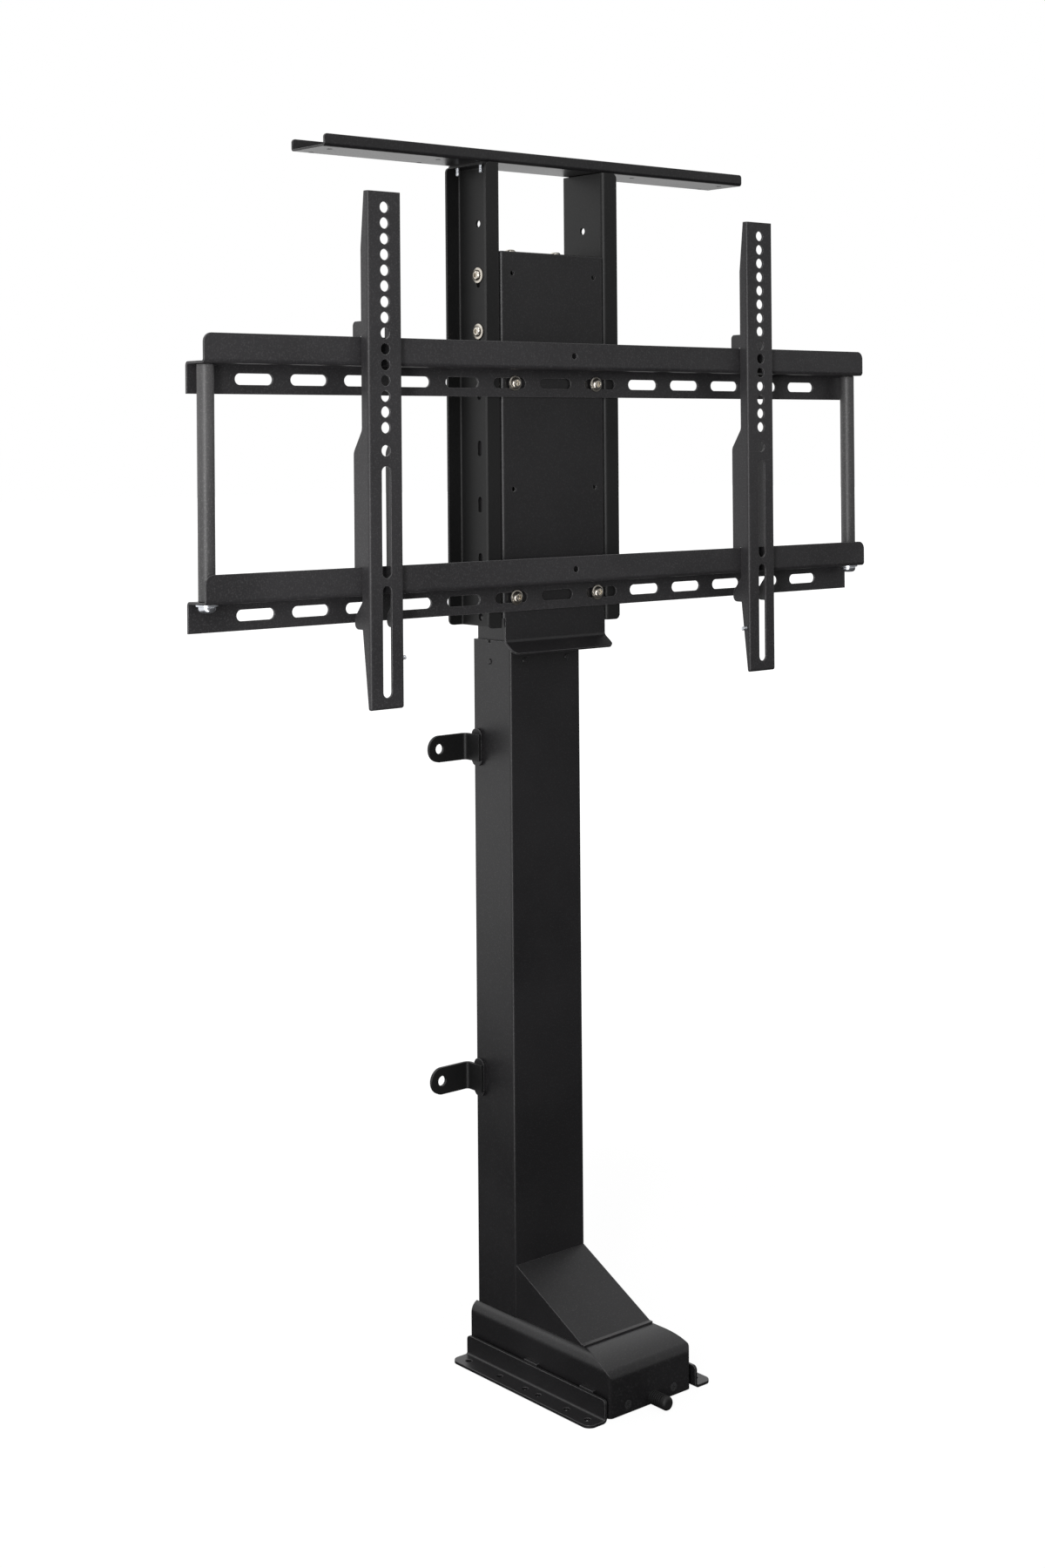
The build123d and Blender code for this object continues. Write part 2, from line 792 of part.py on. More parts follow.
# Wall straps: bent flats on the column's sides, each with a round end and a wall screw hole
leg_x = column_half_width + pad_thickness + strap_thickness / 2
for level_name, level in strap_levels.items():
    for side_name, side in sides.items():
        with BuildPart() as wall_strap:
            with BuildSketch(Plane.XY.offset(level - strap_height / 2)):
                bent_sheet(
                    [
                        (side * leg_x, strap_front_y),
                        (side * leg_x, strap_wall_y - strap_thickness / 2),
                        (side * strap_reach_x, strap_wall_y - strap_thickness / 2),
                    ],
                    strap_thickness,
                    strap_bend,
                )
            extrude(amount=strap_height)
            end_edges = edges().filter_by(Axis.Y).group_by(Axis.X)[-1 if side > 0 else 0]
            fillet(end_edges, strap_height / 2 - running_fit)
            with BuildSketch(Plane.XZ.offset(-strap_wall_y)):
                with Locations((side * strap_hole_x, level)):
                    Circle(strap_hole_radius)
            extrude(amount=strap_thickness, mode=Mode.SUBTRACT)
        save(wall_strap, f"wall_strap_{level_name}_{side_name}")

# Welded pads between the column and the straps
with BuildPart() as strap_pads:
    for side in sides.values():
        with BuildSketch(Plane.YZ.offset(side * column_half_width)):
            with Locations(*[(pad_y, level) for level in strap_levels.values()]):
                RectangleRounded(pad_width, pad_height, pad_corner_radius)
        extrude(amount=side * pad_thickness)
save(strap_pads, "strap_pads")

# Gearbox housing: bearing seats for the spindle and the worm, open on top for the lid
gearbox_width = gearbox_right_x - gearbox_left_x
gearbox_centre_x = (gearbox_right_x + gearbox_left_x) / 2
lid_screw_places = [
    (x, y)
    for x in (gearbox_left_x + lid_screw_inset, gearbox_right_x - lid_screw_inset)
    for y in (-gearbox_half_depth + lid_screw_inset, gearbox_half_depth - lid_screw_inset)
]
wheel_cavity_radius = wheel_pitch_radius + gear_module + overrun
with BuildPart() as gearbox_housing:
    with BuildSketch(Plane.XY.offset(gearbox_base)):
        with Locations((gearbox_centre_x, 0)):
            RectangleRounded(gearbox_width, 2 * gearbox_half_depth, tube_corner)
    extrude(amount=gearbox_height)
    with BuildSketch(Plane.XY.offset(lower_bearing_z)):
        Circle(spindle_bearing_radius)
    extrude(amount=gearbox_top - lower_bearing_z, mode=Mode.SUBTRACT)
    with BuildSketch(Plane.XY.offset(lower_bearing_z + spindle_bearing_height)):
        Circle(wheel_cavity_radius)
    extrude(amount=gearbox_top, mode=Mode.SUBTRACT)
    with BuildSketch(Plane.XZ):
        with Locations((worm_x, wheel_z)):
            Circle(worm_cavity_radius)
    extrude(amount=gearbox_half_depth - worm_bearing_width, both=True, mode=Mode.SUBTRACT)
    with BuildSketch(Plane.XZ):
        with Locations((worm_x, wheel_z)):
            Circle(worm_bearing_radius)
    extrude(amount=gearbox_half_depth, both=True, mode=Mode.SUBTRACT)
    with Locations(*on_plane(Plane.XY.offset(gearbox_top), lid_screw_places)):
        Hole(lid_screw_radius, lid_screw_length - lid_thickness)
save(gearbox_housing, "gearbox_housing")

# Gearbox lid with the upper bearing's seat
with BuildPart() as gearbox_lid:
    with BuildSketch(Plane.XY.offset(gearbox_top)):
        with Locations((gearbox_centre_x, 0)):
            RectangleRounded(gearbox_width, 2 * gearbox_half_depth, tube_corner)
    extrude(amount=lid_thickness)
    with BuildSketch(Plane.XY.offset(gearbox_top)):
        Circle(spindle_bearing_radius)
    extrude(amount=lid_thickness - lid_roof, mode=Mode.SUBTRACT)
    with BuildSketch(Plane.XY.offset(lid_top)):
        Circle(sleeve_radius + seat_gap)
    extrude(amount=-lid_roof, mode=Mode.SUBTRACT)
    with Locations(*on_plane(Plane.XY.offset(lid_top), lid_screw_places)):
        Hole(lid_screw_radius, lid_thickness)
save(gearbox_lid, "gearbox_lid")

lid_screw = domed_screw(
    lid_screw_head_radius, lid_screw_head_height, lid_screw_radius, lid_screw_length
)
with BuildPart() as gearbox_screws:
    with Locations(*on_plane(Plane.XY.offset(lid_top), lid_screw_places)):
        add(lid_screw)
save(gearbox_screws, "gearbox_screws")

# Bearings of the spindle and of the worm
spindle_bearing = ring_bearing(
    journal_radius + nut_fit, spindle_bearing_radius, spindle_bearing_height
)
with BuildPart() as spindle_bearings:
    with Locations((0, 0, lower_bearing_z), (0, 0, upper_bearing_z)):
        add(spindle_bearing)
save(spindle_bearings, "spindle_bearings")

worm_bearing = ring_bearing(
    worm_journal_radius + nut_fit, worm_bearing_radius, worm_bearing_width
)
with BuildPart() as worm_bearings:
    with Locations(
        *on_plane(Plane.XZ.offset(gearbox_half_depth - worm_bearing_width), [(worm_x, wheel_z)]),
        *on_plane(Plane.XZ.offset(-gearbox_half_depth), [(worm_x, wheel_z)]),
    ):
        add(worm_bearing)
save(worm_bearings, "worm_bearings")

# Motor: a closed can lying under the foot cover, its nose against the gearbox
motor_axis = on_plane(Plane.XZ.offset(gearbox_half_depth), [(worm_x, wheel_z)])
with BuildPart() as motor_body:
    with BuildSketch():
        Circle(motor_nose_radius)
    extrude(amount=motor_nose_length)
    with BuildSketch(Plane.XY.offset(motor_nose_length)):
        Circle(motor_radius)
    extrude(amount=motor_length - motor_nose_length - motor_cap_length)
    fillet(edges().filter_by(GeomType.CIRCLE).group_by(Axis.Z)[-1], motor_cap_length / 2)
    with BuildSketch(Plane.XY.offset(motor_length - motor_cap_length)):
        Circle(motor_cap_radius)
    extrude(amount=motor_cap_length)
    with BuildSketch(Plane.XY.offset(motor_length)):
        Circle(motor_boss_radius)
    extrude(amount=motor_boss_length)
    with BuildSketch():
        Circle(worm_journal_radius + running_fit)
    extrude(amount=motor_bore_depth, mode=Mode.SUBTRACT)
with BuildPart() as motor:
    with Locations(*motor_axis):
        add(motor_body.part)
save(motor, "motor")

# Cable gland: a ribbed rubber sleeve through the cover's front
rib_pitch = (gland_reach - gland_radius) / gland_ribs
neck_length = thin_sheet + plate_thickness + overrun
with BuildPart() as gland_body:
    with BuildSketch():
        Circle(gland_radius)
    extrude(amount=gland_reach)
    fillet(edges().group_by(Axis.Z)[-1], gland_radius / 2)
    for rib in range(gland_ribs):
        groove_z = rib_pitch * (rib + gland_rib_share)
        with BuildSketch(Plane.XY.offset(groove_z)):
            Circle(gland_radius)
            Circle(gland_radius - gland_rib_depth, mode=Mode.SUBTRACT)
        extrude(amount=rib_pitch * (1 - gland_rib_share), mode=Mode.SUBTRACT)
    with BuildSketch():
        Circle(gland_neck_radius)
    extrude(amount=-neck_length)
with BuildPart() as cable_gland:
    with Locations(*on_plane(Plane.XZ.offset(-cover_front_y), [(gland_x, gland_z)])):
        add(gland_body.part)
save(cable_gland, "cable_gland")

# Lift spindle: journal through both bearings, screw above the lid, with a keyway along it
spindle_shoulder_z = upper_bearing_z + spindle_bearing_height + running_fit
spindle_screw_z = lid_top + running_fit
with BuildPart() as lift_spindle:
    with BuildSketch(Plane.XY.offset(lower_bearing_z)):
        Circle(journal_radius)
    extrude(amount=spindle_shoulder_z - lower_bearing_z)
    with BuildSketch(Plane.XY.offset(spindle_shoulder_z)):
        Circle(sleeve_radius)
    extrude(amount=spindle_screw_z - spindle_shoulder_z)
    with BuildSketch(Plane.XY.offset(spindle_screw_z)):
        Circle(spindle_radius)
    extrude(amount=spindle_top - spindle_screw_z)
    chamfer(faces().sort_by(Axis.Z)[-1].edges(), overrun)
    with BuildSketch(Plane.XY.offset(keyway_start)):
        with Locations((spindle_radius, 0)):
            Rectangle(2 * keyway_depth, keyway_width)
    extrude(amount=spindle_top - keyway_start, mode=Mode.SUBTRACT)
save(lift_spindle, "lift_spindle")

# Sleeves that hold the worm wheel between the spindle's bearings
lower_sleeve_z = lower_bearing_z + spindle_bearing_height + running_fit
upper_sleeve_top = upper_bearing_z - running_fit
with BuildPart() as spindle_sleeves:
    for low, high in (
        (lower_sleeve_z, wheel_z - wheel_face / 2),
        (wheel_z + wheel_face / 2, upper_sleeve_top),
    ):
        with BuildSketch(Plane.XY.offset(low)):
            Circle(sleeve_radius)
            Circle(journal_radius, mode=Mode.SUBTRACT)
        extrude(amount=high - low)
save(spindle_sleeves, "spindle_sleeves")

# Worm wheel: slanted gaps cut all round a brass blank
wheel_radius = wheel_pitch_radius + gear_module
flank_slope = tan(radians(gear_flank))
half_gap = pi * gear_module / 4
gap_tip = gear_module + overrun / 2
slant = Plane(
    origin=(wheel_pitch_radius, 0, wheel_z),
    x_dir=(1, 0, 0),
    z_dir=(0, sin(radians(worm_lead_angle)), cos(radians(worm_lead_angle))),
)
with BuildPart() as tooth_gap:
    with BuildSketch(slant):
        with BuildLine():
            Polyline(
                (-gear_dedendum, half_gap - gear_dedendum * flank_slope),
                (gap_tip, half_gap + gap_tip * flank_slope),
                (gap_tip, -half_gap - gap_tip * flank_slope),
                (-gear_dedendum, -half_gap + gear_dedendum * flank_slope),
                close=True,
            )
        make_face()
    extrude(amount=wheel_face, both=True)
with BuildPart() as worm_wheel:
    with BuildSketch(Plane.XY.offset(wheel_z - wheel_face / 2)):
        Circle(wheel_radius)
        Circle(journal_radius, mode=Mode.SUBTRACT)
    extrude(amount=wheel_face)
    with PolarLocations(0, wheel_teeth):
        add(tooth_gap.part, mode=Mode.SUBTRACT)
save(worm_wheel, "worm_wheel")

# Worm shaft: a single-start thread between two shoulders, journals and a tail into the motor
shaft_reach = gearbox_half_depth
shoulder_reach = gearbox_half_depth - worm_bearing_width - running_fit
worm_frame = Plane(origin=(worm_x, 0, wheel_z), x_dir=(-1, 0, 0), z_dir=(0, 1, 0))
ridge_root = worm_root_radius - worm_sink
ridge_tip = worm_pitch_radius + gear_module
half_root = worm_ridge / 2 + (worm_pitch_radius - ridge_root) * flank_slope
half_tip = worm_ridge / 2 - gear_module * flank_slope
with BuildPart() as worm_body:
    with BuildSketch(Plane.XY.offset(-shaft_reach - worm_tail)):
        Circle(worm_journal_radius)
    extrude(amount=2 * shaft_reach + worm_tail)
    for low in (-shoulder_reach, worm_length / 2):
        with BuildSketch(Plane.XY.offset(low)):
            Circle(worm_shoulder_radius)
        extrude(amount=shoulder_reach - worm_length / 2)
    with BuildLine():
        thread_path = Helix(
            pitch=worm_lead,
            height=worm_length - worm_lead,
            radius=worm_pitch_radius,
            center=(0, 0, (worm_lead - worm_length) / 2),
        )
    with BuildSketch(Plane.XZ):
        with BuildLine():
            Polyline(
                (ridge_root, (worm_lead - worm_length) / 2 - half_root),
                (ridge_tip, (worm_lead - worm_length) / 2 - half_tip),
                (ridge_tip, (worm_lead - worm_length) / 2 + half_tip),
                (ridge_root, (worm_lead - worm_length) / 2 + half_root),
                close=True,
            )
        make_face()
    sweep(path=thread_path, is_frenet=True)
with BuildPart() as worm_shaft:
    with Locations(worm_frame.location):
        add(worm_body.part)
save(worm_shaft, "worm_shaft")

# Middle tube and the liner at its mouth
with BuildPart() as middle_column:
    with BuildSketch(Plane.XY.offset(middle_rise + middle_tube_base)):
        tube_section(middle_width, middle_depth)
    extrude(amount=middle_tube_top - middle_tube_base)
save(middle_column, "middle_column")

with BuildPart() as middle_liner:
    with BuildSketch(Plane.XY.offset(middle_rise + middle_tube_top - middle_liner_length)):
        liner_section(middle_width, middle_depth)
    extrude(amount=middle_liner_length)
save(middle_liner, "middle_liner")

# Middle shoe: slides in the outer column, carries the middle tube and the thrust ring's pocket
nut_screw_circle = (nut_body_radius + nut_flange_radius) / 2
with BuildPart() as middle_shoe:
    with BuildSketch(Plane.XY.offset(middle_rise + middle_shoe_base)):
        RectangleRounded(
            column_width - 2 * (tube_wall + running_fit),
            column_depth - 2 * (tube_wall + running_fit),
            tube_corner,
        )
        Circle(nut_body_radius, mode=Mode.SUBTRACT)
        with PolarLocations(nut_screw_circle, nut_screw_count):
            Circle(nut_screw_radius, mode=Mode.SUBTRACT)
    extrude(amount=shoe_thickness)
    with BuildSketch(Plane.XY.offset(middle_rise + middle_tube_base)):
        RectangleRounded(
            middle_width - 2 * tube_wall, middle_depth - 2 * tube_wall, tube_corner - tube_wall
        )
        Circle(thrust_ring_radius + running_fit, mode=Mode.SUBTRACT)
    extrude(amount=plug_height)
save(middle_shoe, "middle_shoe")

# Middle nut under the shoe, on the lift spindle
with BuildPart() as middle_nut:
    with BuildSketch(Plane.XY.offset(middle_rise + middle_nut_base)):
        Circle(nut_flange_radius)
    extrude(amount=nut_flange_thickness)
    with BuildSketch(Plane.XY.offset(middle_rise + middle_shoe_base)):
        Circle(nut_body_radius)
    extrude(amount=shoe_thickness)
    with BuildSketch(Plane.XY.offset(middle_rise + middle_nut_base)):
        Circle(spindle_radius + nut_fit)
    extrude(amount=nut_flange_thickness + shoe_thickness, mode=Mode.SUBTRACT)
    with BuildSketch(Plane.XY.offset(middle_rise + middle_nut_base)):
        with PolarLocations(nut_screw_circle, nut_screw_count):
            Circle(nut_screw_radius)
    extrude(amount=nut_flange_thickness, mode=Mode.SUBTRACT)
    with BuildSketch(Plane.XY.offset(middle_rise + middle_nut_base)):
        with PolarLocations(nut_screw_circle, nut_screw_count):
            Circle(nut_screw_head_radius)
    extrude(amount=nut_screw_head_height, mode=Mode.SUBTRACT)
save(middle_nut, "middle_nut")

# Cap screws of both nuts, their heads sunk into the flange from below
with BuildPart() as nut_screw:
    with BuildSketch():
        Circle(nut_screw_head_radius)
    extrude(amount=nut_screw_head_height)
    with BuildSketch(Plane.XY.offset(nut_screw_head_height)):
        Circle(nut_screw_radius)
    extrude(amount=nut_screw_length)
with BuildPart() as middle_nut_screws:
    with Locations((0, 0, middle_rise + middle_nut_base)):
        with PolarLocations(nut_screw_circle, nut_screw_count):
            add(nut_screw.part)
save(middle_nut_screws, "middle_nut_screws")

# Thrust ring that carries the screw tube's flange
with BuildPart() as thrust_ring:
    with BuildSketch(Plane.XY.offset(middle_rise + middle_tube_base)):
        Circle(thrust_ring_radius)
        Circle(thrust_ring_bore, mode=Mode.SUBTRACT)
    extrude(amount=thrust_ring_thickness)
save(thrust_ring, "thrust_ring")

# Retainer plate that keeps the screw tube's flange down
with BuildPart() as tube_retainer:
    with BuildSketch(Plane.XY.offset(middle_rise + retainer_base)):
        RectangleRounded(retainer_width, retainer_depth, tube_corner)
        Circle(retainer_bore, mode=Mode.SUBTRACT)
    extrude(amount=retainer_thickness)
save(tube_retainer, "tube_retainer")

# Screw tube: turns with the spindle through a key tooth in its flange, threaded outside
with BuildPart() as screw_tube:
    with BuildSketch(Plane.XY.offset(middle_rise + screw_tube_base)):
        Circle(thrust_ring_radius)
        Circle(screw_tube_bore, mode=Mode.SUBTRACT)
    extrude(amount=screw_tube_flange)
    with BuildSketch(Plane.XY.offset(middle_rise + screw_tube_base)):
        Circle(screw_tube_radius)
        Circle(screw_tube_bore, mode=Mode.SUBTRACT)
    extrude(amount=screw_tube_top - screw_tube_base)
    tooth_length = screw_tube_bore + overrun - key_tooth_reach
    with BuildSketch(Plane.XY.offset(middle_rise + screw_tube_base)):
        with Locations((key_tooth_reach + tooth_length / 2, 0)):
            Rectangle(tooth_length, key_tooth_width)
    extrude(amount=screw_tube_flange)
save(screw_tube, "screw_tube")

# Inner tube, its shoe and the nut on the screw tube
with BuildPart() as inner_column:
    with BuildSketch(Plane.XY.offset(carriage_rise + inner_tube_base)):
        tube_section(inner_width, inner_depth)
    extrude(amount=inner_tube_top - inner_tube_base)
save(inner_column, "inner_column")

inner_screw_circle = (inner_nut_radius + inner_nut_flange_radius) / 2
with BuildPart() as inner_shoe:
    with BuildSketch(Plane.XY.offset(carriage_rise + inner_shoe_base)):
        RectangleRounded(
            middle_width - 2 * (tube_wall + running_fit),
            middle_depth - 2 * (tube_wall + running_fit),
            tube_corner,
        )
        Circle(inner_nut_radius, mode=Mode.SUBTRACT)
        with PolarLocations(inner_screw_circle, nut_screw_count):
            Circle(nut_screw_radius, mode=Mode.SUBTRACT)
    extrude(amount=shoe_thickness)
    with BuildSketch(Plane.XY.offset(carriage_rise + inner_tube_base)):
        RectangleRounded(
            inner_width - 2 * tube_wall, inner_depth - 2 * tube_wall, tube_corner - tube_wall
        )
        Circle(inner_nut_radius, mode=Mode.SUBTRACT)
    extrude(amount=inner_plug_height)
save(inner_shoe, "inner_shoe")

with BuildPart() as inner_nut:
    with BuildSketch(Plane.XY.offset(carriage_rise + inner_nut_base)):
        Circle(inner_nut_flange_radius)
    extrude(amount=nut_flange_thickness)
    with BuildSketch(Plane.XY.offset(carriage_rise + inner_shoe_base)):
        Circle(inner_nut_radius)
    extrude(amount=inner_nut_height - nut_flange_thickness)
    with BuildSketch(Plane.XY.offset(carriage_rise + inner_nut_base)):
        Circle(screw_tube_radius + nut_fit)
    extrude(amount=inner_nut_height, mode=Mode.SUBTRACT)
    with BuildSketch(Plane.XY.offset(carriage_rise + inner_nut_base)):
        with PolarLocations(inner_screw_circle, nut_screw_count):
            Circle(nut_screw_radius)
    extrude(amount=nut_flange_thickness, mode=Mode.SUBTRACT)
    with BuildSketch(Plane.XY.offset(carriage_rise + inner_nut_base)):
        with PolarLocations(inner_screw_circle, nut_screw_count):
            Circle(nut_screw_head_radius)
    extrude(amount=nut_screw_head_height, mode=Mode.SUBTRACT)
save(inner_nut, "inner_nut")

with BuildPart() as inner_nut_screws:
    with Locations((0, 0, carriage_rise + inner_nut_base)):
        with PolarLocations(inner_screw_circle, nut_screw_count):
            add(nut_screw.part)
save(inner_nut_screws, "inner_nut_screws")

# Cap in the inner tube's top, which the carriage is screwed down on
tube_head_z = carriage_rise + inner_tube_top
cap_screw_places = [(x, y) for x in (-cap_screw_x, cap_screw_x) for y in (-cap_screw_y, cap_screw_y)]
cap_bore_depth = cap_screw_length - shell_sheet
with BuildPart() as column_cap:
    with BuildSketch(Plane.XY.offset(tube_head_z - cap_height)):
        RectangleRounded(
            inner_width - 2 * tube_wall, inner_depth - 2 * tube_wall, tube_corner - tube_wall
        )
    extrude(amount=cap_height)
    with Locations(*on_plane(Plane.XY.offset(tube_head_z), cap_screw_places)):
        Hole(cap_screw_radius, cap_bore_depth)
save(column_cap, "column_cap")

cap_screw = domed_screw(
    cap_screw_head_radius, cap_screw_head_height, cap_screw_radius, cap_screw_length
)
with BuildPart() as cap_screws:
    with Locations(*on_plane(Plane.XY.offset(shell_top), cap_screw_places)):
        add(cap_screw)
save(cap_screws, "cap_screws")

# Carriage shell: front plate, two cheeks and a roof folded from one sheet, flared at its foot
shell_middle_y = shell_front_y + shell_sheet / 2
shell_cheek_x = shell_half_width - shell_sheet / 2
rail_bolt_levels = [shelf - rail_slot_drop for shelf in rail_shelves.values()]
rail_bolt_places = [(x, z) for z in rail_bolt_levels for x in (-rail_bolt_x, rail_bolt_x)]
upright_bolt_places = [(upright_hole_y, z) for z in upright_bolt_z]
with BuildPart() as flare:
    with BuildSketch(Plane.YZ):
        bent_sheet(
            [
                (shell_middle_y, shell_side_bottom),
                (shell_middle_y, flare_top),
                (shell_middle_y - flare_forward, flare_top - flare_fall),
            ],
            shell_sheet,
            flare_bend,
        )
    extrude(amount=flare_half_width, both=True)
    flare_height = shell_side_bottom - flare_top + 2 * flare_fall
    with BuildSketch(Plane.XZ):
        with Locations((0, shell_side_bottom - flare_height / 2)):
            Rectangle(2 * flare_half_width, flare_height)
    extrude(amount=-2 * shell_front_y, both=True, mode=Mode.INTERSECT)
    corner_edges = edges().filter_by(
        lambda edge: edge.length < 2 * shell_sheet and edge.center().Z < flare_top - flare_fall
    )
    corner_edges = corner_edges.filter_by(Axis.X, reverse=True)
    fillet(corner_edges, flare_corner_radius)
with BuildPart() as carriage_shell:
    with BuildSketch(Plane.XY.offset(shell_side_bottom)):
        bent_sheet(
            [
                (-shell_cheek_x, shell_back_y),
                (-shell_cheek_x, shell_middle_y),
                (shell_cheek_x, shell_middle_y),
                (shell_cheek_x, shell_back_y),
            ],
            shell_sheet,
            shell_bend,
        )
    extrude(amount=shell_top - shell_side_bottom)
    shell_depth = shell_back_y - shell_front_y
    with BuildSketch(Plane.XY.offset(shell_top - shell_sheet)):
        with Locations((0, shell_back_y - shell_depth / 2)):
            Rectangle(2 * shell_half_width, shell_depth)
        fillet(vertices().group_by(Axis.Y)[0], shell_bend)
    extrude(amount=shell_sheet)
    front_top_edge = edges().filter_by(Axis.X).group_by(Axis.Z)[-1].sort_by(Axis.Y)[0]
    fillet(front_top_edge, shell_roof_radius)
    add(flare.part)
    with BuildSketch(Plane.XZ.offset(-shell_front_y)):
        with Locations(*[(x, z) for x in (-shell_hole_x, shell_hole_x) for z in shell_hole_z]):
            Circle(shell_hole_radius)
        with Locations(*rail_bolt_places):
            Circle(rail_bolt_radius)
    extrude(amount=-shell_sheet, mode=Mode.SUBTRACT)
    with BuildSketch(Plane.YZ):
        with Locations(*upright_bolt_places):
            Circle(upright_bolt_radius)
    extrude(amount=shell_half_width, both=True, mode=Mode.SUBTRACT)
    with BuildSketch(Plane.XY.offset(shell_top)):
        with Locations(*cap_screw_places):
            Circle(cap_screw_radius)
    extrude(amount=-shell_sheet, mode=Mode.SUBTRACT)
save(carriage_shell, "carriage_shell")

# Uprights: channels open outwards, with slots down the web and a tab under the top bracket
web_x = shell_half_width + upright_sheet / 2
flange_front_y = carriage_plane_y + upright_sheet / 2
flange_rear_y = upright_back_y - upright_sheet / 2
tab_depth = upright_back_y - carriage_plane_y - 2 * (upright_sheet + upright_bend)
tab_centre_y = (upright_back_y + carriage_plane_y) / 2
for side_name, side in sides.items():
    with BuildPart() as upright:
        with BuildSketch(Plane.XY.offset(upright_bottom)):
            bent_sheet(
                [
                    (side * upright_outer_x, flange_front_y),
                    (side * web_x, flange_front_y),
                    (side * web_x, flange_rear_y),
                    (side * upright_outer_x, flange_rear_y),
                ],
                upright_sheet,
                upright_bend,
            )
        extrude(amount=upright_top - upright_bottom)
        flange_corners = edges().filter_by(Axis.Y).group_by(Axis.X)[-1 if side > 0 else 0]
        fillet(flange_corners, upright_corner_radius)
        with BuildSketch(Plane.XZ.offset(-tab_centre_y)):
            bent_sheet(
                [
                    (side * web_x, upright_top - 4 * upright_sheet),
                    (side * web_x, top_base - upright_sheet / 2),
                    (side * upright_outer_x, top_base - upright_sheet / 2),
                ],
                upright_sheet,
                upright_bend,
            )
        extrude(amount=tab_depth / 2, both=True)
        with BuildSketch(Plane.YZ.offset(side * shell_half_width)):
            round_levels = (upright_top_hole_z, upright_top_hole_z - upright_pitch * (upright_slots + 1))
            with Locations(*[(upright_hole_y, z) for z in round_levels]):
                Circle(upright_hole_radius)
            slot_levels = [upright_top_hole_z - upright_pitch * (n + 1) for n in range(upright_slots)]
            with Locations(*[(upright_hole_y, z) for z in slot_levels]):
                SlotOverall(upright_slot_length, upright_slot_width, rotation=90)
        extrude(amount=side * upright_sheet, mode=Mode.SUBTRACT)
        with BuildSketch(Plane.XY.offset(top_base)):
            with Locations(*[(side * tab_screw_x, y) for y in tab_screw_y]):
                Circle(tab_screw_radius)
        extrude(amount=-upright_sheet, mode=Mode.SUBTRACT)
    save(upright, f"upright_{side_name}")

# Bolts through the uprights' slots into the shell's cheeks
upright_face_x = shell_half_width + upright_sheet
upright_bolt = domed_screw(
    upright_bolt_head_radius,
    upright_bolt_head_height,
    upright_bolt_radius,
    upright_sheet + shell_sheet + upright_nut_thickness + overrun,
)
with BuildPart() as upright_bolts:
    with Locations(
        *on_plane(Plane.YZ.offset(upright_face_x), upright_bolt_places),
        *on_plane(
            Plane(origin=(-upright_face_x, 0, 0), x_dir=(0, 1, 0), z_dir=(-1, 0, 0)),
            [(y, -z) for y, z in upright_bolt_places],
        ),
    ):
        add(upright_bolt)
save(upright_bolts, "upright_bolts")

# Nuts inside the shell, for the uprights and for the rails
rail_nut = hexagon_nut(rail_nut_radius, rail_bolt_radius, rail_nut_thickness)
upright_nut = hexagon_nut(upright_nut_radius, upright_bolt_radius, upright_nut_thickness)
cheek_inner_x = shell_half_width - shell_sheet
plate_inner_y = shell_front_y + shell_sheet
with BuildPart() as carriage_nuts:
    with Locations(
        *on_plane(
            Plane(origin=(0, plate_inner_y, 0), x_dir=(1, 0, 0), z_dir=(0, 1, 0)),
            [(x, -z) for x, z in rail_bolt_places],
        )
    ):
        add(rail_nut)
    with Locations(
        *on_plane(
            Plane(origin=(cheek_inner_x, 0, 0), x_dir=(0, 1, 0), z_dir=(-1, 0, 0)),
            [(y, -z) for y, z in upright_bolt_places],
        ),
        *on_plane(Plane.YZ.offset(-cheek_inner_x), upright_bolt_places),
    ):
        add(upright_nut)
save(carriage_nuts, "carriage_nuts")

# Top bracket: a shallow channel open upwards, screwed to the uprights' tabs
with BuildPart() as top_bracket:
    with BuildSketch(Plane.YZ.offset(-top_half_length)):
        bent_sheet(
            [
                (top_front_y + top_sheet / 2, top_edge),
                (top_front_y + top_sheet / 2, top_base + top_sheet / 2),
                (top_back_y - top_sheet / 2, top_base + top_sheet / 2),
                (top_back_y - top_sheet / 2, top_edge),
            ],
            top_sheet,
            top_bend,
        )
    extrude(amount=2 * top_half_length)
    flange_ends = edges().filter_by(Axis.Y).group_by(Axis.Z)[-1]
    fillet(flange_ends, top_corner_radius)
    with BuildSketch(Plane.XY.offset(top_base)):
        with Locations(*[(s * x, y) for s in sides.values() for x in top_hole_x for y in top_hole_y]):
            Circle(top_hole_radius)
        with Locations(*[(s * tab_screw_x, y) for s in sides.values() for y in tab_screw_y]):
            Circle(tab_screw_radius)
    extrude(amount=top_sheet, mode=Mode.SUBTRACT)
save(top_bracket, "top_bracket")

tab_screw = domed_screw(
    tab_screw_head_radius,
    tab_screw_head_height,
    tab_screw_radius,
    top_sheet + upright_sheet + tab_screw_end,
)
with BuildPart() as top_bracket_screws:
    with Locations(
        *on_plane(
            Plane.XY.offset(top_base + top_sheet),
            [(s * tab_screw_x, y) for s in sides.values() for y in tab_screw_y],
        )
    ):
        add(tab_screw)
save(top_bracket_screws, "top_bracket_screws")

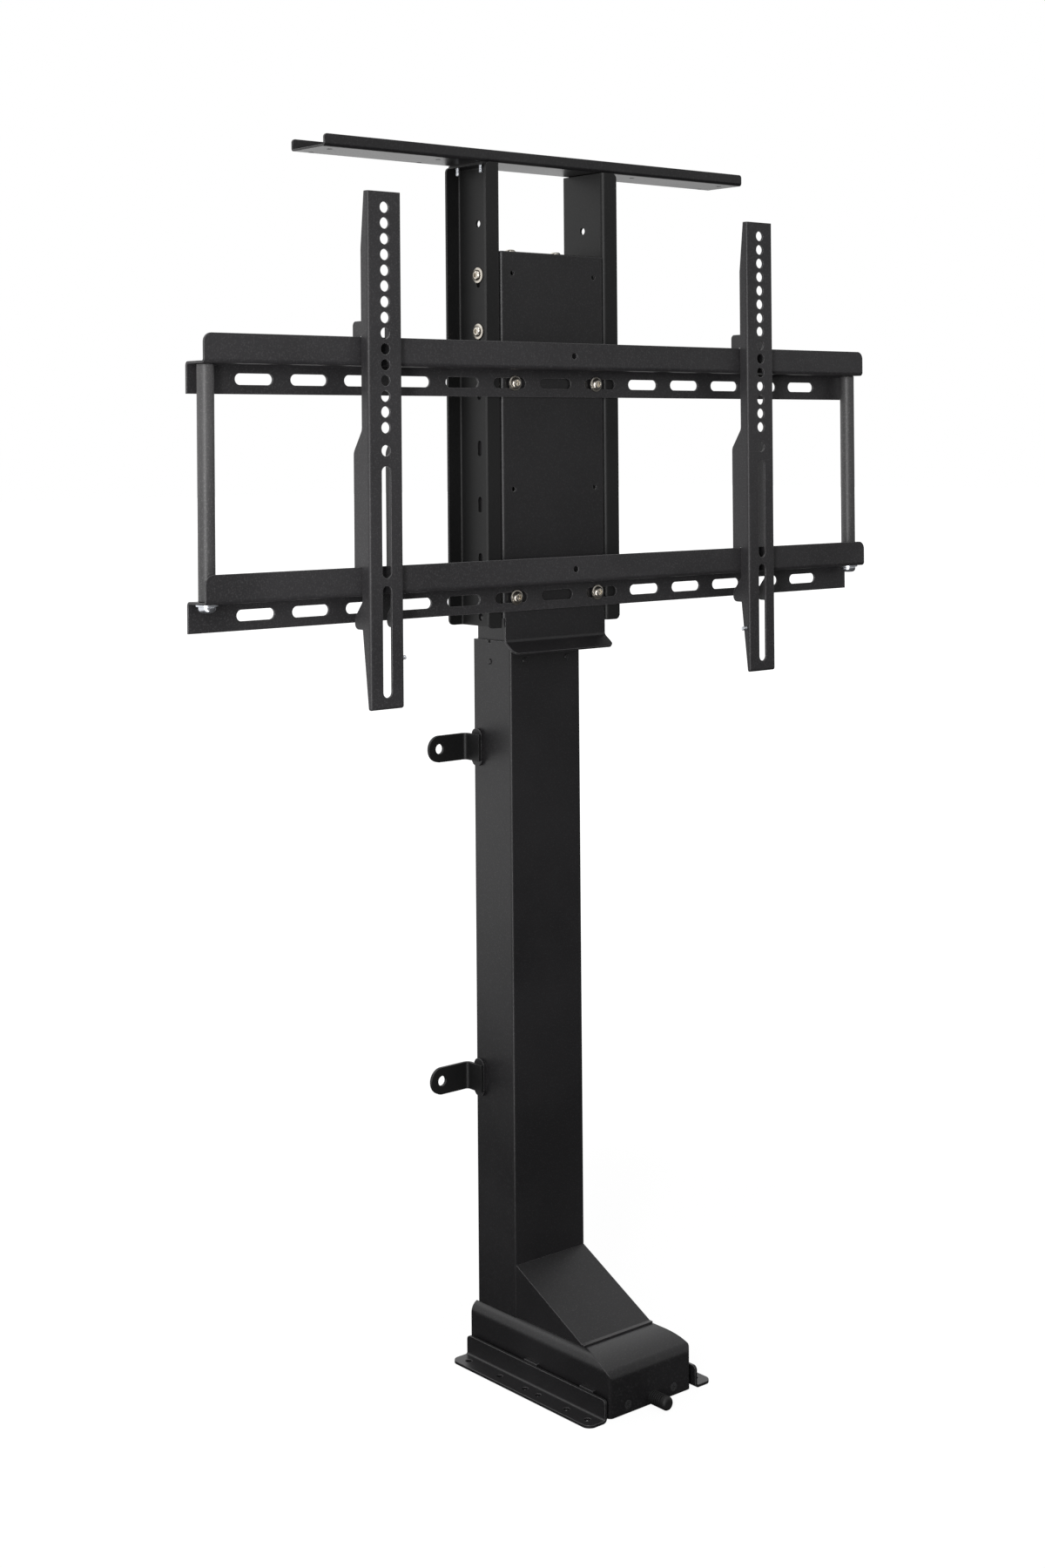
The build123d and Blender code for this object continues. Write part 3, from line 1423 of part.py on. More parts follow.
# Rails: a lip, a shelf and a slotted back folded from one strip
rail_back_middle_y = carriage_plane_y - rail_sheet / 2
rail_lip_middle_y = rail_lip_y + rail_sheet / 2
for level_name, shelf in rail_shelves.items():
    with BuildPart() as rail:
        with BuildSketch(Plane.YZ.offset(-rail_half_length)):
            bent_sheet(
                [
                    (rail_back_middle_y, shelf - rail_back_height),
                    (rail_back_middle_y, shelf + rail_sheet / 2),
                    (rail_lip_middle_y, shelf + rail_sheet / 2),
                    (rail_lip_middle_y, shelf + rail_lip_height),
                ],
                rail_sheet,
                rail_bend,
            )
        extrude(amount=2 * rail_half_length)
        lip_corners = edges().filter_by(Axis.Y).group_by(Axis.Z)[-1]
        fillet(lip_corners, rail_lip_corner)
        with BuildSketch(Plane.XZ.offset(-carriage_plane_y)):
            with Locations((0, shelf - rail_slot_drop)):
                with GridLocations(rail_slot_pitch, 0, rail_slot_count, 1):
                    SlotOverall(rail_slot_length, rail_slot_width)
        extrude(amount=rail_sheet, mode=Mode.SUBTRACT)
        with BuildSketch(Plane.XZ.offset(-rail_lip_y)):
            with Locations((0, shelf + rail_lip_hole_rise)):
                Circle(rail_lip_hole_radius)
        extrude(amount=-rail_sheet, mode=Mode.SUBTRACT)
        with BuildSketch(Plane.XY.offset(shelf)):
            with Locations((-post_x, post_y), (post_x, post_y)):
                Circle(post_screw_radius)
        extrude(amount=rail_sheet, mode=Mode.SUBTRACT)
    save(rail, f"rail_{level_name}")

# Flanged button bolts that hold the rails to the shell
rail_bolt = domed_screw(
    rail_bolt_head_radius, rail_bolt_head_height, rail_bolt_radius, rail_bolt_length
)
with BuildPart() as rail_bolts:
    with Locations(*on_plane(Plane.XZ.offset(rail_sheet - carriage_plane_y), rail_bolt_places)):
        add(rail_bolt)
save(rail_bolts, "rail_bolts")

# Posts between the rails at both ends, welded above and screwed from below over a washer
post_bottom = rail_shelves["lower"] + rail_sheet
post_top = rail_shelves["upper"]
bore_depth = post_screw_length - rail_sheet - post_washer_thickness
for side_name, side in sides.items():
    with BuildPart() as post:
        with BuildSketch(Plane.XY.offset(post_bottom)):
            with Locations((side * post_x, post_y)):
                Circle(post_radius)
        extrude(amount=post_top - post_bottom)
        chamfer(edges(), post_edge)
        with BuildSketch(Plane.XY.offset(post_bottom)):
            with Locations((side * post_x, post_y)):
                Circle(post_screw_radius)
        extrude(amount=bore_depth, mode=Mode.SUBTRACT)
    save(post, f"post_{side_name}")

post_places = [(side * post_x, post_y) for side in sides.values()]
lower_face = Plane(origin=(0, 0, post_bottom - rail_sheet), x_dir=(1, 0, 0), z_dir=(0, 0, -1))
lower_places = [(x, -y) for x, y in post_places]
with BuildPart() as post_washers:
    with Locations(*on_plane(lower_face, lower_places)):
        Cylinder(
            post_washer_radius,
            post_washer_thickness,
            align=(Align.CENTER, Align.CENTER, Align.MIN),
        )
        Hole(post_screw_radius)
save(post_washers, "post_washers")

post_screw = domed_screw(
    post_screw_head_radius, post_screw_head_height, post_screw_radius, post_screw_length
)
with BuildPart() as post_screws:
    with Locations(*on_plane(lower_face.offset(post_washer_thickness), lower_places)):
        add(post_screw)
save(post_screws, "post_screws")

# Mounting arms: channels that hook over both rails' lips, with plate holes down the web
hook_inner_depth = arm_standoff + rail_sheet + seat_gap
lip_front_depth = arm_standoff - seat_gap
upper_notch = rail_shelves["upper"] + rail_lip_height + seat_gap
lower_notch = rail_shelves["lower"] + rail_lip_height + seat_gap
lower_tab_bottom = rail_shelves["lower"] + rail_sheet + 2 * overrun
arm_outline = [
    (0, arm_top),
    (arm_top_depth, arm_top),
    (arm_neck_depth, arm_taper_z),
    (arm_neck_depth, arm_hook_top),
    (arm_depth, arm_hook_top),
    (arm_depth, arm_hook_bottom),
    (hook_inner_depth, arm_hook_bottom),
    (hook_inner_depth, upper_notch),
    (arm_neck_depth, upper_notch),
    (arm_neck_depth, arm_swell_top),
    (arm_depth, arm_swell_bottom),
    (arm_depth, lower_tab_bottom),
    (hook_inner_depth, lower_tab_bottom),
    (hook_inner_depth, lower_notch),
    (lip_front_depth, lower_notch),
    (lip_front_depth, arm_bump_top),
    (arm_depth, arm_bump_mid),
    (arm_depth, arm_bump_bottom),
    (arm_tail_depth, arm_bump_bottom),
    (arm_end_depth, arm_bottom),
    (0, arm_bottom),
]
hole_levels = [arm_hole_top - arm_hole_pitch * n for n in range(arm_hole_count)]
hole_levels.append(arm_last_hole)
for side_name, side in sides.items():
    arm_x = arm_places[side_name]
    arm_low_x = arm_x - arm_width / 2
    inner_face_x = arm_x - side * arm_width / 2
    screw_y = arm_front_y + safety_screw_depth
    with BuildPart() as arm:
        with BuildSketch(Plane.YZ.offset(arm_low_x)):
            with BuildLine():
                Polyline(*[(arm_front_y + depth, z) for depth, z in arm_outline], close=True)
            make_face()
            hook_corner = vertices().filter_by(
                lambda v: abs(v.X - arm_front_y - arm_depth) < running_fit
                and abs(v.Y - arm_hook_top) < running_fit
            )
            fillet(hook_corner, arm_hook_corner)
            bump_corners = vertices().filter_by(
                lambda v: abs(v.X - arm_front_y - arm_depth) < running_fit
                and arm_bump_bottom - running_fit < v.Y < arm_bump_mid + running_fit
            )
            fillet(bump_corners, arm_bump_radius)
            swell_corners = vertices().filter_by(
                lambda v: arm_swell_bottom - running_fit < v.Y < arm_swell_top + running_fit
            )
            fillet(swell_corners, arm_swell_radius)
        extrude(amount=arm_width)
        foot_edges = edges().filter_by(Axis.Y).group_by(Axis.Z)[0]
        fillet(foot_edges, arm_corner_radius)
        front_edges = edges().filter_by(Axis.Z).group_by(Axis.Y)[0]
        fillet(front_edges, arm_bend)
        inner_width_x = arm_width - 2 * arm_sheet
        inner_centre_z = (arm_top + arm_bottom) / 2
        with BuildSketch(Plane.XZ.offset(-arm_front_y - arm_sheet)):
            with Locations((arm_x, inner_centre_z)):
                Rectangle(inner_width_x, arm_top - arm_bottom + 2 * overrun)
        extrude(amount=-2 * arm_depth, mode=Mode.SUBTRACT)
        with BuildSketch(Plane.XZ.offset(-arm_front_y)):
            with Locations(*[(arm_x, z) for z in hole_levels]):
                Circle(arm_hole_radius)
            with Locations(*[(arm_x, z) for z in arm_slot_levels]):
                SlotOverall(arm_slot_length, arm_slot_width, rotation=90)
        extrude(amount=-arm_sheet, mode=Mode.SUBTRACT)
        with BuildSketch(Plane.YZ.offset(inner_face_x)):
            with Locations((screw_y, safety_screw_z)):
                Circle(safety_screw_radius)
        extrude(amount=side * arm_sheet, mode=Mode.SUBTRACT)
    save(arm, f"arm_{side_name}")

    # Locking screw in the arm's inner flange, its head inside the channel
    with BuildPart() as arm_screw:
        with BuildSketch(Plane.YZ.offset(inner_face_x - side * safety_screw_reach)):
            with Locations((screw_y, safety_screw_z)):
                Circle(safety_screw_radius)
        extrude(amount=side * (safety_screw_reach + arm_sheet))
        with BuildSketch(Plane.YZ.offset(inner_face_x + side * arm_sheet)):
            with Locations((screw_y, safety_screw_z)):
                RegularPolygon(safety_head_radius, 6)
        extrude(amount=side * safety_head_height)
    save(arm_screw, f"arm_{side_name}_screw")
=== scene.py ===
import math

import bpy
from mathutils import Matrix, Vector


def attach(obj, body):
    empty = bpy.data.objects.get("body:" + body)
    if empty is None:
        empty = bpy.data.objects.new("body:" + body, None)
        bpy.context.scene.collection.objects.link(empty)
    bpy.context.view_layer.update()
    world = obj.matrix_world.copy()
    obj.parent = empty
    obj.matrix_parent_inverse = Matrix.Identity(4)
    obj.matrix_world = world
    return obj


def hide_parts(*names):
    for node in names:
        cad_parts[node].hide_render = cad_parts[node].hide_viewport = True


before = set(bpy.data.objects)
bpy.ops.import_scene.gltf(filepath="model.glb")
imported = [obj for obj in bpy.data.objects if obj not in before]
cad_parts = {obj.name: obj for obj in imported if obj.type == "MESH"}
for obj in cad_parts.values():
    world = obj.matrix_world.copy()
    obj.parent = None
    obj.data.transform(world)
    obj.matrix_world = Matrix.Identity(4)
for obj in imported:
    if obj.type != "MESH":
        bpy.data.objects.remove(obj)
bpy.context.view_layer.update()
scene = bpy.context.scene
scene.view_settings.view_transform = "Standard"
print("frame loaded,", len(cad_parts), "nodes")

mm = 0.001
white = (1.0, 1.0, 1.0, 1.0)
noiseMiddle = 0.5  # what a noise value swings about


def feed(tree, value, socket):
    if isinstance(value, Wire):
        tree.links.new(value.socket, socket)
    else:
        socket.default_value = value


class Wire:
    # one shader value; a sum written with it becomes Math nodes
    def __init__(self, tree, socket):
        self.tree = tree
        self.socket = socket

    def reckon(self, operation, *others):
        node = self.tree.nodes.new("ShaderNodeMath")
        node.operation = operation
        for socket, item in zip(node.inputs, (self, *others)):
            feed(self.tree, item, socket)
        return Wire(self.tree, node.outputs[0])

    def __add__(self, other):
        return self.reckon("ADD", other)

    __radd__ = __add__

    def __mul__(self, other):
        return self.reckon("MULTIPLY", other)

    __rmul__ = __mul__

    def __sub__(self, other):
        return self.reckon("SUBTRACT", other)

    def __rsub__(self, other):
        return self * -1 + other


# how an edge is found: by a normal that the Bevel node turns away from the face's own; this
# edge mask lightens the colour along edges, a painted highlight on the bends together with
# some edge wear
edgeFinder = {"samples": 6, "wearAndHighlightFrom": 0.01, "wearAndHighlightTo": 0.22}


class Nodes:
    # a node tree; everything but a sum goes in through add()
    def __init__(self, tree):
        self.tree = tree
        tree.nodes.clear()

    def add(self, kind, settings, sockets, take=0):
        node = self.tree.nodes.new(kind)
        for key, value in settings.items():
            setattr(node, key, value)
        for key, value in sockets.items():
            feed(self.tree, value, node.inputs[key])
        return Wire(self.tree, node.outputs[take]) if node.outputs else None

    def spot(self):
        return self.add("ShaderNodeTexCoord", {}, {}, "Object")

    def grain(self, scale, detail, stretch=(1.0, 1.0, 1.0)):
        laid = self.add("ShaderNodeMapping", {}, {"Vector": self.spot(), "Scale": stretch})
        return self.add(
            "ShaderNodeTexNoise", {}, {"Vector": laid, "Scale": scale, "Detail": detail}
        )

    def step(self, value, low, high):
        return self.add(
            "ShaderNodeMapRange",
            {"interpolation_type": "SMOOTHSTEP"},
            {"Value": value, "From Min": low, "From Max": high},
        )

    def tint(self, share, first, second):
        if not isinstance(first, Wire):
            first = (*first, 1.0)
        return self.add(
            "ShaderNodeMix", {"data_type": "RGBA"}, {0: share, 6: first, 7: (*second, 1.0)}, 2
        )

    def softEdge(self, radius):
        return self.add(
            "ShaderNodeBevel", {"samples": edgeFinder["samples"]}, {"Radius": radius}
        )

    # mask of the edges that get a painted highlight and some wear
    def wearAndHighlight(self, soft):
        flat = self.add("ShaderNodeNewGeometry", {}, {}, "Normal")
        match = self.add(
            "ShaderNodeVectorMath", {"operation": "DOT_PRODUCT"}, {0: soft, 1: flat}, "Value"
        )
        return self.step(1 - match, edgeFinder["wearAndHighlightFrom"], edgeFinder["wearAndHighlightTo"])

    def bump(self, height, distance, strength, normal=None):
        sockets = {"Height": height, "Distance": distance, "Strength": strength}
        if normal:
            sockets["Normal"] = normal
        return self.add("ShaderNodeBump", {}, sockets)

    def surface(self, sockets):
        skin = self.add("ShaderNodeBsdfPrincipled", {}, sockets)
        self.add("ShaderNodeOutputMaterial", {}, {"Surface": skin})


def newFinish(name):
    material = bpy.data.materials.new(name)
    material.use_nodes = True
    return material, Nodes(material.node_tree)


# camera, where the photograph was taken from
camera = {
    "lens": 51.147,  # for the sensor's width on the long side
    "sensor": 36.0,
    "place": (-1.36524, -1.61391, 0.85814),
    "heading": 0.701079,  # from +Y towards +X
    "pitch": 0.003495,
    "roll": -0.008003,
    "shift": (0.0, -0.22222),
    "farthest": 100.0,
}


def setCamera(spec):
    bpy.ops.object.select_all(action="DESELECT")
    bpy.ops.object.camera_add(location=spec["place"])
    view = bpy.context.object
    heading, pitch, roll = spec["heading"], spec["pitch"], spec["roll"]
    level = math.cos(pitch)
    ahead = Vector((math.sin(heading) * level, math.cos(heading) * level, math.sin(pitch)))
    side = Vector((math.cos(heading), -math.sin(heading), 0.0))
    above = side.cross(ahead)
    across = side * math.cos(roll) + above * math.sin(roll)
    upward = above * math.cos(roll) - side * math.sin(roll)
    turn = Matrix((across, upward, -ahead)).transposed().to_4x4()
    view.matrix_world = Matrix.Translation(spec["place"]) @ turn
    view.data.lens = spec["lens"]
    view.data.sensor_width = spec["sensor"]
    view.data.shift_x, view.data.shift_y = spec["shift"]
    view.data.clip_end = spec["farthest"]
    scene.camera = view


setCamera(camera)
print("camera set")

# studio: white room, bright behind and to the left, dim in front and to the right
studio = {
    "fill": 0.5,  # what the room gives by itself
    "brightWay": (-0.66, 0.75, 0.0),
    "brightFrom": -0.6,
    "brightTo": 0.3,
    "mirrorDim": 0.62,  # the room as gloss sees it
    "mirrorBright": 1.1,
    "floorSize": 60.0,
    "floorTone": (0.5, 0.5, 0.5),
    "floorBounce": (0.1, 0.1, 0.1),  # the floor as every ray but the camera's sees it
    "floorWhite": 1.22,
    "floorShadow": 0.24,  # share of the real floor that the camera sees near the object
    "floorNear": 0.5,  # that share fades to nothing from here
    "floorFar": 1.6,  # to here
    "glossNear": 0.9,  # from here outwards gloss sees the floor as bright as the room
    "glossFar": 1.8,
}

# upright strip at the front left, soft light behind, soft light overhead, strip on the floor
lamps = [
    {"at": (-2.3, -1.9, 1.1), "aim": (0.0, 0.0, 0.6), "size": (0.35, 2.0), "power": 42.0},
    {"at": (-0.7, 2.2, 2.3), "aim": (0.0, 0.0, 0.5), "size": (1.4, 1.4), "power": 5.0},
    {"at": (-0.7, -0.5, 2.6), "aim": (0.0, 0.0, 0.0), "size": (0.7, 0.7), "power": 7.0},
    {
        "at": (-1.2, -1.02, 0.02), "aim": (-1.6, -1.36, 60.0),  # up, with a slight lean
        "size": (0.26, 2.0), "power": 10.0,
    },
]


def brightSide(nodes, way, spec):
    turn = nodes.add(
        "ShaderNodeVectorMath",
        {"operation": "DOT_PRODUCT"},
        {0: way, 1: spec["brightWay"]},
        "Value",
    )
    return nodes.step(turn, spec["brightFrom"], spec["brightTo"])


def rayKind(nodes, kind):
    return nodes.add("ShaderNodeLightPath", {}, {}, kind)


def setRoom(spec):
    room = bpy.data.worlds.new("studio room")
    room.use_nodes = True
    scene.world = room
    nodes = Nodes(room.node_tree)
    seen = rayKind(nodes, "Is Camera Ray")
    glossy = rayKind(nodes, "Is Glossy Ray")
    side = brightSide(nodes, nodes.add("ShaderNodeTexCoord", {}, {}, "Generated"), spec)
    mirrored = spec["mirrorDim"] + (spec["mirrorBright"] - spec["mirrorDim"]) * side
    strength = seen + mirrored * glossy + spec["fill"] * (1 - seen - glossy)
    glow = nodes.add("ShaderNodeBackground", {}, {"Color": white, "Strength": strength})
    nodes.add("ShaderNodeOutputWorld", {}, {"Surface": glow})


def setFloor(spec):
    bpy.ops.mesh.primitive_plane_add(size=spec["floorSize"], location=(0.0, 0.0, 0.0))
    floor = bpy.context.object
    floor.name = "studioFloor"
    material, nodes = newFinish("studio floor")
    spot = nodes.spot()
    far = nodes.add("ShaderNodeVectorMath", {"operation": "LENGTH"}, {0: spot}, "Value")
    away = nodes.step(far, spec["floorNear"], spec["floorFar"])
    seen = rayKind(nodes, "Is Camera Ray")
    glossy = rayKind(nodes, "Is Glossy Ray")
    way = nodes.add("ShaderNodeVectorMath", {"operation": "NORMALIZE"}, {0: spot})
    beyond = nodes.step(far, spec["glossNear"], spec["glossFar"])
    mirrored = beyond * brightSide(nodes, way, spec)
    share = seen * (1 - spec["floorShadow"] * (1 - away)) + glossy * mirrored
    tone = nodes.tint(seen, spec["floorBounce"], spec["floorTone"])
    matt = nodes.add("ShaderNodeBsdfDiffuse", {}, {"Color": tone})
    glow = nodes.add(
        "ShaderNodeEmission", {}, {"Color": white, "Strength": spec["floorWhite"]}
    )
    both = nodes.add("ShaderNodeMixShader", {}, {0: share, 1: matt, 2: glow})
    nodes.add("ShaderNodeOutputMaterial", {}, {"Surface": both})
    floor.data.materials.append(material)


def setLamp(lamp):
    bpy.ops.object.light_add(type="AREA", location=lamp["at"])
    light = bpy.context.object
    light.data.shape = "RECTANGLE"
    light.data.size, light.data.size_y = lamp["size"]
    light.data.energy = lamp["power"]
    way = Vector(lamp["aim"]) - Vector(lamp["at"])
    light.rotation_euler = way.to_track_quat("-Z", "Y").to_euler()


setRoom(studio)
setFloor(studio)
for lamp in lamps:
    setLamp(lamp)
print("studio set")

# satin black powder coat on folded sheet
blackCoat = {
    "deep": (0.0101, 0.0097, 0.0105),
    "pale": (0.0161, 0.0155, 0.0166),
    # the edge tone is a painted highlight on the bends, with some edge wear
    "wearAndHighlightTone": (0.16, 0.157, 0.161),
    "grit": (0.040, 0.039, 0.041),
    "rough": 0.35,
    "edge": 0.9 * mm,
    "shine": 0.36,
    "skin": 0.2,
}
# the rails and arms have a slightly lighter coat
railCoat = {
    "deep": (0.0228, 0.0219, 0.0234),
    "pale": (0.0336, 0.0323, 0.0344),
    "wearAndHighlightTone": (0.20, 0.197, 0.20),
    "grit": (0.080, 0.078, 0.081),
    "rough": 0.42,
    "edge": 0.9 * mm,
    "shine": 0.36,
    "skin": 0.3,
}
# coarse, light coat on the two posts
postCoat = {
    "deep": (0.050, 0.049, 0.050),
    "pale": (0.080, 0.078, 0.079),
    "wearAndHighlightTone": (0.14, 0.14, 0.14),
    "grit": (0.16, 0.158, 0.16),
    "rough": 0.45,
    "edge": 0.5 * mm,
    "shine": 0.5,
    "skin": 0.6,
}
# thinner, flatter coat on the wall straps and the uprights
strapCoat = {
    "deep": (0.0040, 0.0040, 0.0042),
    "pale": (0.0080, 0.0080, 0.0082),
    "wearAndHighlightTone": (0.03, 0.03, 0.03),
    "grit": (0.015, 0.015, 0.015),
    "rough": 0.5,
    "edge": 0.5 * mm,
    "shine": 0.35,
    "skin": 0.25,
}
# black oxide on small screws
blackScrew = {
    "deep": (0.022, 0.022, 0.023),
    "pale": (0.040, 0.040, 0.042),
    "wearAndHighlightTone": (0.08, 0.08, 0.08),
    "grit": (0.05, 0.05, 0.05),
    "rough": 0.4,
    "edge": 0.25 * mm,
    "shine": 0.5,
    "skin": 0.15,
}
# what every powder coat shares
drifting = {"scale": 7.0, "detail": 3.0, "low": 0.35, "high": 0.65, "rough": 0.08}
orangePeel = {"scale": 520.0, "detail": 2.0, "share": 0.45}  # about 2 mm across
powderDust = {"scale": 1900.0, "detail": 1.0, "share": 0.55, "rough": 0.16}
paleGrit = {"scale": 760.0, "detail": 3.0, "low": 0.5, "high": 0.72, "share": 0.55}
# how far edges are lightened as painted highlight and wear, and how much glossier they are
coatWearAndHighlight = {"share": 0.8, "rough": 0.06}
coatDepth = 0.05 * mm


def powderCoat(name, spec):
    material, nodes = newFinish(name)
    drift = nodes.grain(drifting["scale"], drifting["detail"])
    peel = nodes.grain(orangePeel["scale"], orangePeel["detail"])
    powder = nodes.grain(powderDust["scale"], powderDust["detail"])
    specks = nodes.grain(paleGrit["scale"], paleGrit["detail"])
    grit = nodes.step(specks, paleGrit["low"], paleGrit["high"])
    soft = nodes.softEdge(spec["edge"])
    wornAndLit = nodes.wearAndHighlight(soft)
    cloud = nodes.step(drift, drifting["low"], drifting["high"])
    shade = nodes.tint(cloud, spec["deep"], spec["pale"])
    shade = nodes.tint(grit * paleGrit["share"], shade, spec["grit"])
    # edges lightened: a painted highlight along the bends, with some edge wear
    shade = nodes.tint(wornAndLit * coatWearAndHighlight["share"], shade, spec["wearAndHighlightTone"])
    rough = (
        spec["rough"]
        + (powder - noiseMiddle) * powderDust["rough"]
        + (drift - noiseMiddle) * drifting["rough"]
        - wornAndLit * coatWearAndHighlight["rough"]
    )
    height = powder * powderDust["share"] + peel * orangePeel["share"]
    nodes.surface(
        {
            "Base Color": shade,
            "Roughness": rough,
            "Specular IOR Level": spec["shine"],
            "Normal": nodes.bump(height, coatDepth, spec["skin"], soft),
        }
    )
    return material


# warm zinc on bolts and nuts
zincPlate = {
    "deep": (0.50, 0.46, 0.40), "pale": (0.70, 0.66, 0.59), "rough": 0.3,
    "scale": 400.0, "stretch": (1.0, 1.0, 1.0), "depth": 0.02 * mm,
}
# cooler, brighter zinc on the posts' screws and washers and the small pan screws
brightZinc = {
    "deep": (0.60, 0.62, 0.66), "pale": (0.80, 0.82, 0.86), "rough": 0.3,
    "scale": 400.0, "stretch": (1.0, 1.0, 1.0), "depth": 0.02 * mm,
}
# bearings, shafts and, with a thread, the two lift screws
machinedSteel = {
    "deep": (0.36, 0.36, 0.37), "pale": (0.52, 0.52, 0.53), "rough": 0.28,
    "scale": 90.0, "stretch": (1.0, 1.0, 40.0), "depth": 0.02 * mm,
}
# die-cast gearbox
castHousing = {
    "deep": (0.30, 0.30, 0.31), "pale": (0.44, 0.44, 0.45), "rough": 0.5,
    "scale": 900.0, "stretch": (1.0, 1.0, 1.0), "depth": 0.06 * mm,
}
# bronze worm wheel
gearBronze = {
    "deep": (0.50, 0.33, 0.12), "pale": (0.66, 0.46, 0.19), "rough": 0.34,
    "scale": 90.0, "stretch": (1.0, 1.0, 30.0), "depth": 0.02 * mm,
}
# what every bare metal shares
metalCloud = {"scale": 90.0, "detail": 4.0, "low": 0.3, "high": 0.7, "rough": 0.12}
metalLines = {"detail": 3.0, "rough": 0.18, "strength": 0.3}
# edges of bare metal lightened: painted highlight with some edge wear
metalWearAndHighlight = {"edge": 0.2 * mm, "share": 0.35, "tone": (0.78, 0.77, 0.75)}


def bareMetal(name, spec):
    material, nodes = newFinish(name)
    cloud = nodes.grain(metalCloud["scale"], metalCloud["detail"])
    lines = nodes.grain(spec["scale"], metalLines["detail"], spec["stretch"])
    soft = nodes.softEdge(metalWearAndHighlight["edge"])
    wornAndLit = nodes.wearAndHighlight(soft)
    patch = nodes.step(cloud, metalCloud["low"], metalCloud["high"])
    shade = nodes.tint(patch, spec["deep"], spec["pale"])
    # edges lightened: painted highlight, with some edge wear
    shade = nodes.tint(wornAndLit * metalWearAndHighlight["share"], shade, metalWearAndHighlight["tone"])
    rough = (
        spec["rough"]
        + (lines - noiseMiddle) * metalLines["rough"]
        + (cloud - noiseMiddle) * metalCloud["rough"]
    )
    nodes.surface(
        {
            "Base Color": shade,
            "Metallic": 1.0,
            "Roughness": rough,
            "Normal": nodes.bump(lines, spec["depth"], metalLines["strength"], soft),
        }
    )
    return material


# the two lift screws: ridges that climb once round in every lead
liftThread = {
    "lead": 12.0 * mm, "starts": 4, "depth": 0.9 * mm, "strength": 0.9,
    "root": -0.45, "crest": 0.45,  # of a sine's swing, where the flank starts and ends
    "scale": 120.0, "detail": 3.0, "rough": 0.15,
}


def threadedSteel(name, spec, thread):
    material, nodes = newFinish(name)
    spot = nodes.spot()
    x, y, z = (nodes.add("ShaderNodeSeparateXYZ", {}, {0: spot}, i) for i in range(3))
    turn = y.reckon("ARCTAN2", x)
    climb = z * (2 * math.pi * thread["starts"] / thread["lead"])
    ridge = (climb - turn * thread["starts"]).reckon("SINE")
    # the thread's roots are painted darker and its crests lighter, following the bump: painted
    # shade in the grooves
    flat = nodes.step(ridge, thread["root"], thread["crest"])
    cloud = nodes.grain(thread["scale"], thread["detail"])
    nodes.surface(
        {
            "Base Color": nodes.tint(flat, spec["deep"], spec["pale"]),
            "Metallic": 1.0,
            "Roughness": spec["rough"] + (cloud - noiseMiddle) * thread["rough"],
            "Normal": nodes.bump(flat, thread["depth"], thread["strength"]),
        }
    )
    return material


# moulded parts
glidePlastic = {
    "deep": (0.016, 0.016, 0.017), "pale": (0.028, 0.028, 0.029), "rough": 0.42,
    "scale": 700.0, "depth": 0.02 * mm,
}
nutPlastic = {
    "deep": (0.62, 0.60, 0.54), "pale": (0.74, 0.72, 0.66), "rough": 0.38,
    "scale": 600.0, "depth": 0.02 * mm,
}
glandRubber = {
    "deep": (0.004, 0.004, 0.004), "pale": (0.009, 0.009, 0.009), "rough": 0.6,
    "scale": 900.0, "depth": 0.05 * mm,
}
motorCan = {
    "deep": (0.020, 0.020, 0.022), "pale": (0.034, 0.034, 0.036), "rough": 0.3,
    "scale": 1200.0, "depth": 0.02 * mm,
}
# what every moulded part shares
mouldCloud = {"scale": 25.0, "detail": 3.0, "low": 0.3, "high": 0.7}
mouldSkin = {"detail": 2.0, "rough": 0.15, "strength": 0.35, "shine": 0.4}
mouldRub = {"edge": 0.4 * mm, "rough": 0.08}


def moulded(name, spec):
    material, nodes = newFinish(name)
    cloud = nodes.grain(mouldCloud["scale"], mouldCloud["detail"])
    texture = nodes.grain(spec["scale"], mouldSkin["detail"])
    soft = nodes.softEdge(mouldRub["edge"])
    wornAndLit = nodes.wearAndHighlight(soft)
    patch = nodes.step(cloud, mouldCloud["low"], mouldCloud["high"])
    rough = (
        spec["rough"]
        + (texture - noiseMiddle) * mouldSkin["rough"]
        - wornAndLit * mouldRub["rough"]
    )
    nodes.surface(
        {
            "Base Color": nodes.tint(patch, spec["deep"], spec["pale"]),
            "Roughness": rough,
            "Specular IOR Level": mouldSkin["shine"],
            "Normal": nodes.bump(texture, spec["depth"], mouldSkin["strength"], soft),
        }
    )
    return material


finishes = {
    "black_coat": powderCoat("satin black coat", blackCoat),
    "rail_coat": powderCoat("rail coat", railCoat),
    "post_coat": powderCoat("post coat", postCoat),
    "strap_coat": powderCoat("strap coat", strapCoat),
    "black_screw": powderCoat("black oxide", blackScrew),
    "zinc_plate": bareMetal("zinc plate", zincPlate),
    "bright_zinc": bareMetal("bright zinc", brightZinc),
    "machined_steel": bareMetal("machined steel", machinedSteel),
    "cast_housing": bareMetal("cast housing", castHousing),
    "gear_brass": bareMetal("gear bronze", gearBronze),
    "lift_thread": threadedSteel("lift screw steel", machinedSteel, liftThread),
    "glide_plastic": moulded("glide plastic", glidePlastic),
    "nut_plastic": moulded("nut plastic", nutPlastic),
    "gland_rubber": moulded("gland rubber", glandRubber),
    "motor_can": moulded("motor can", motorCan),
}

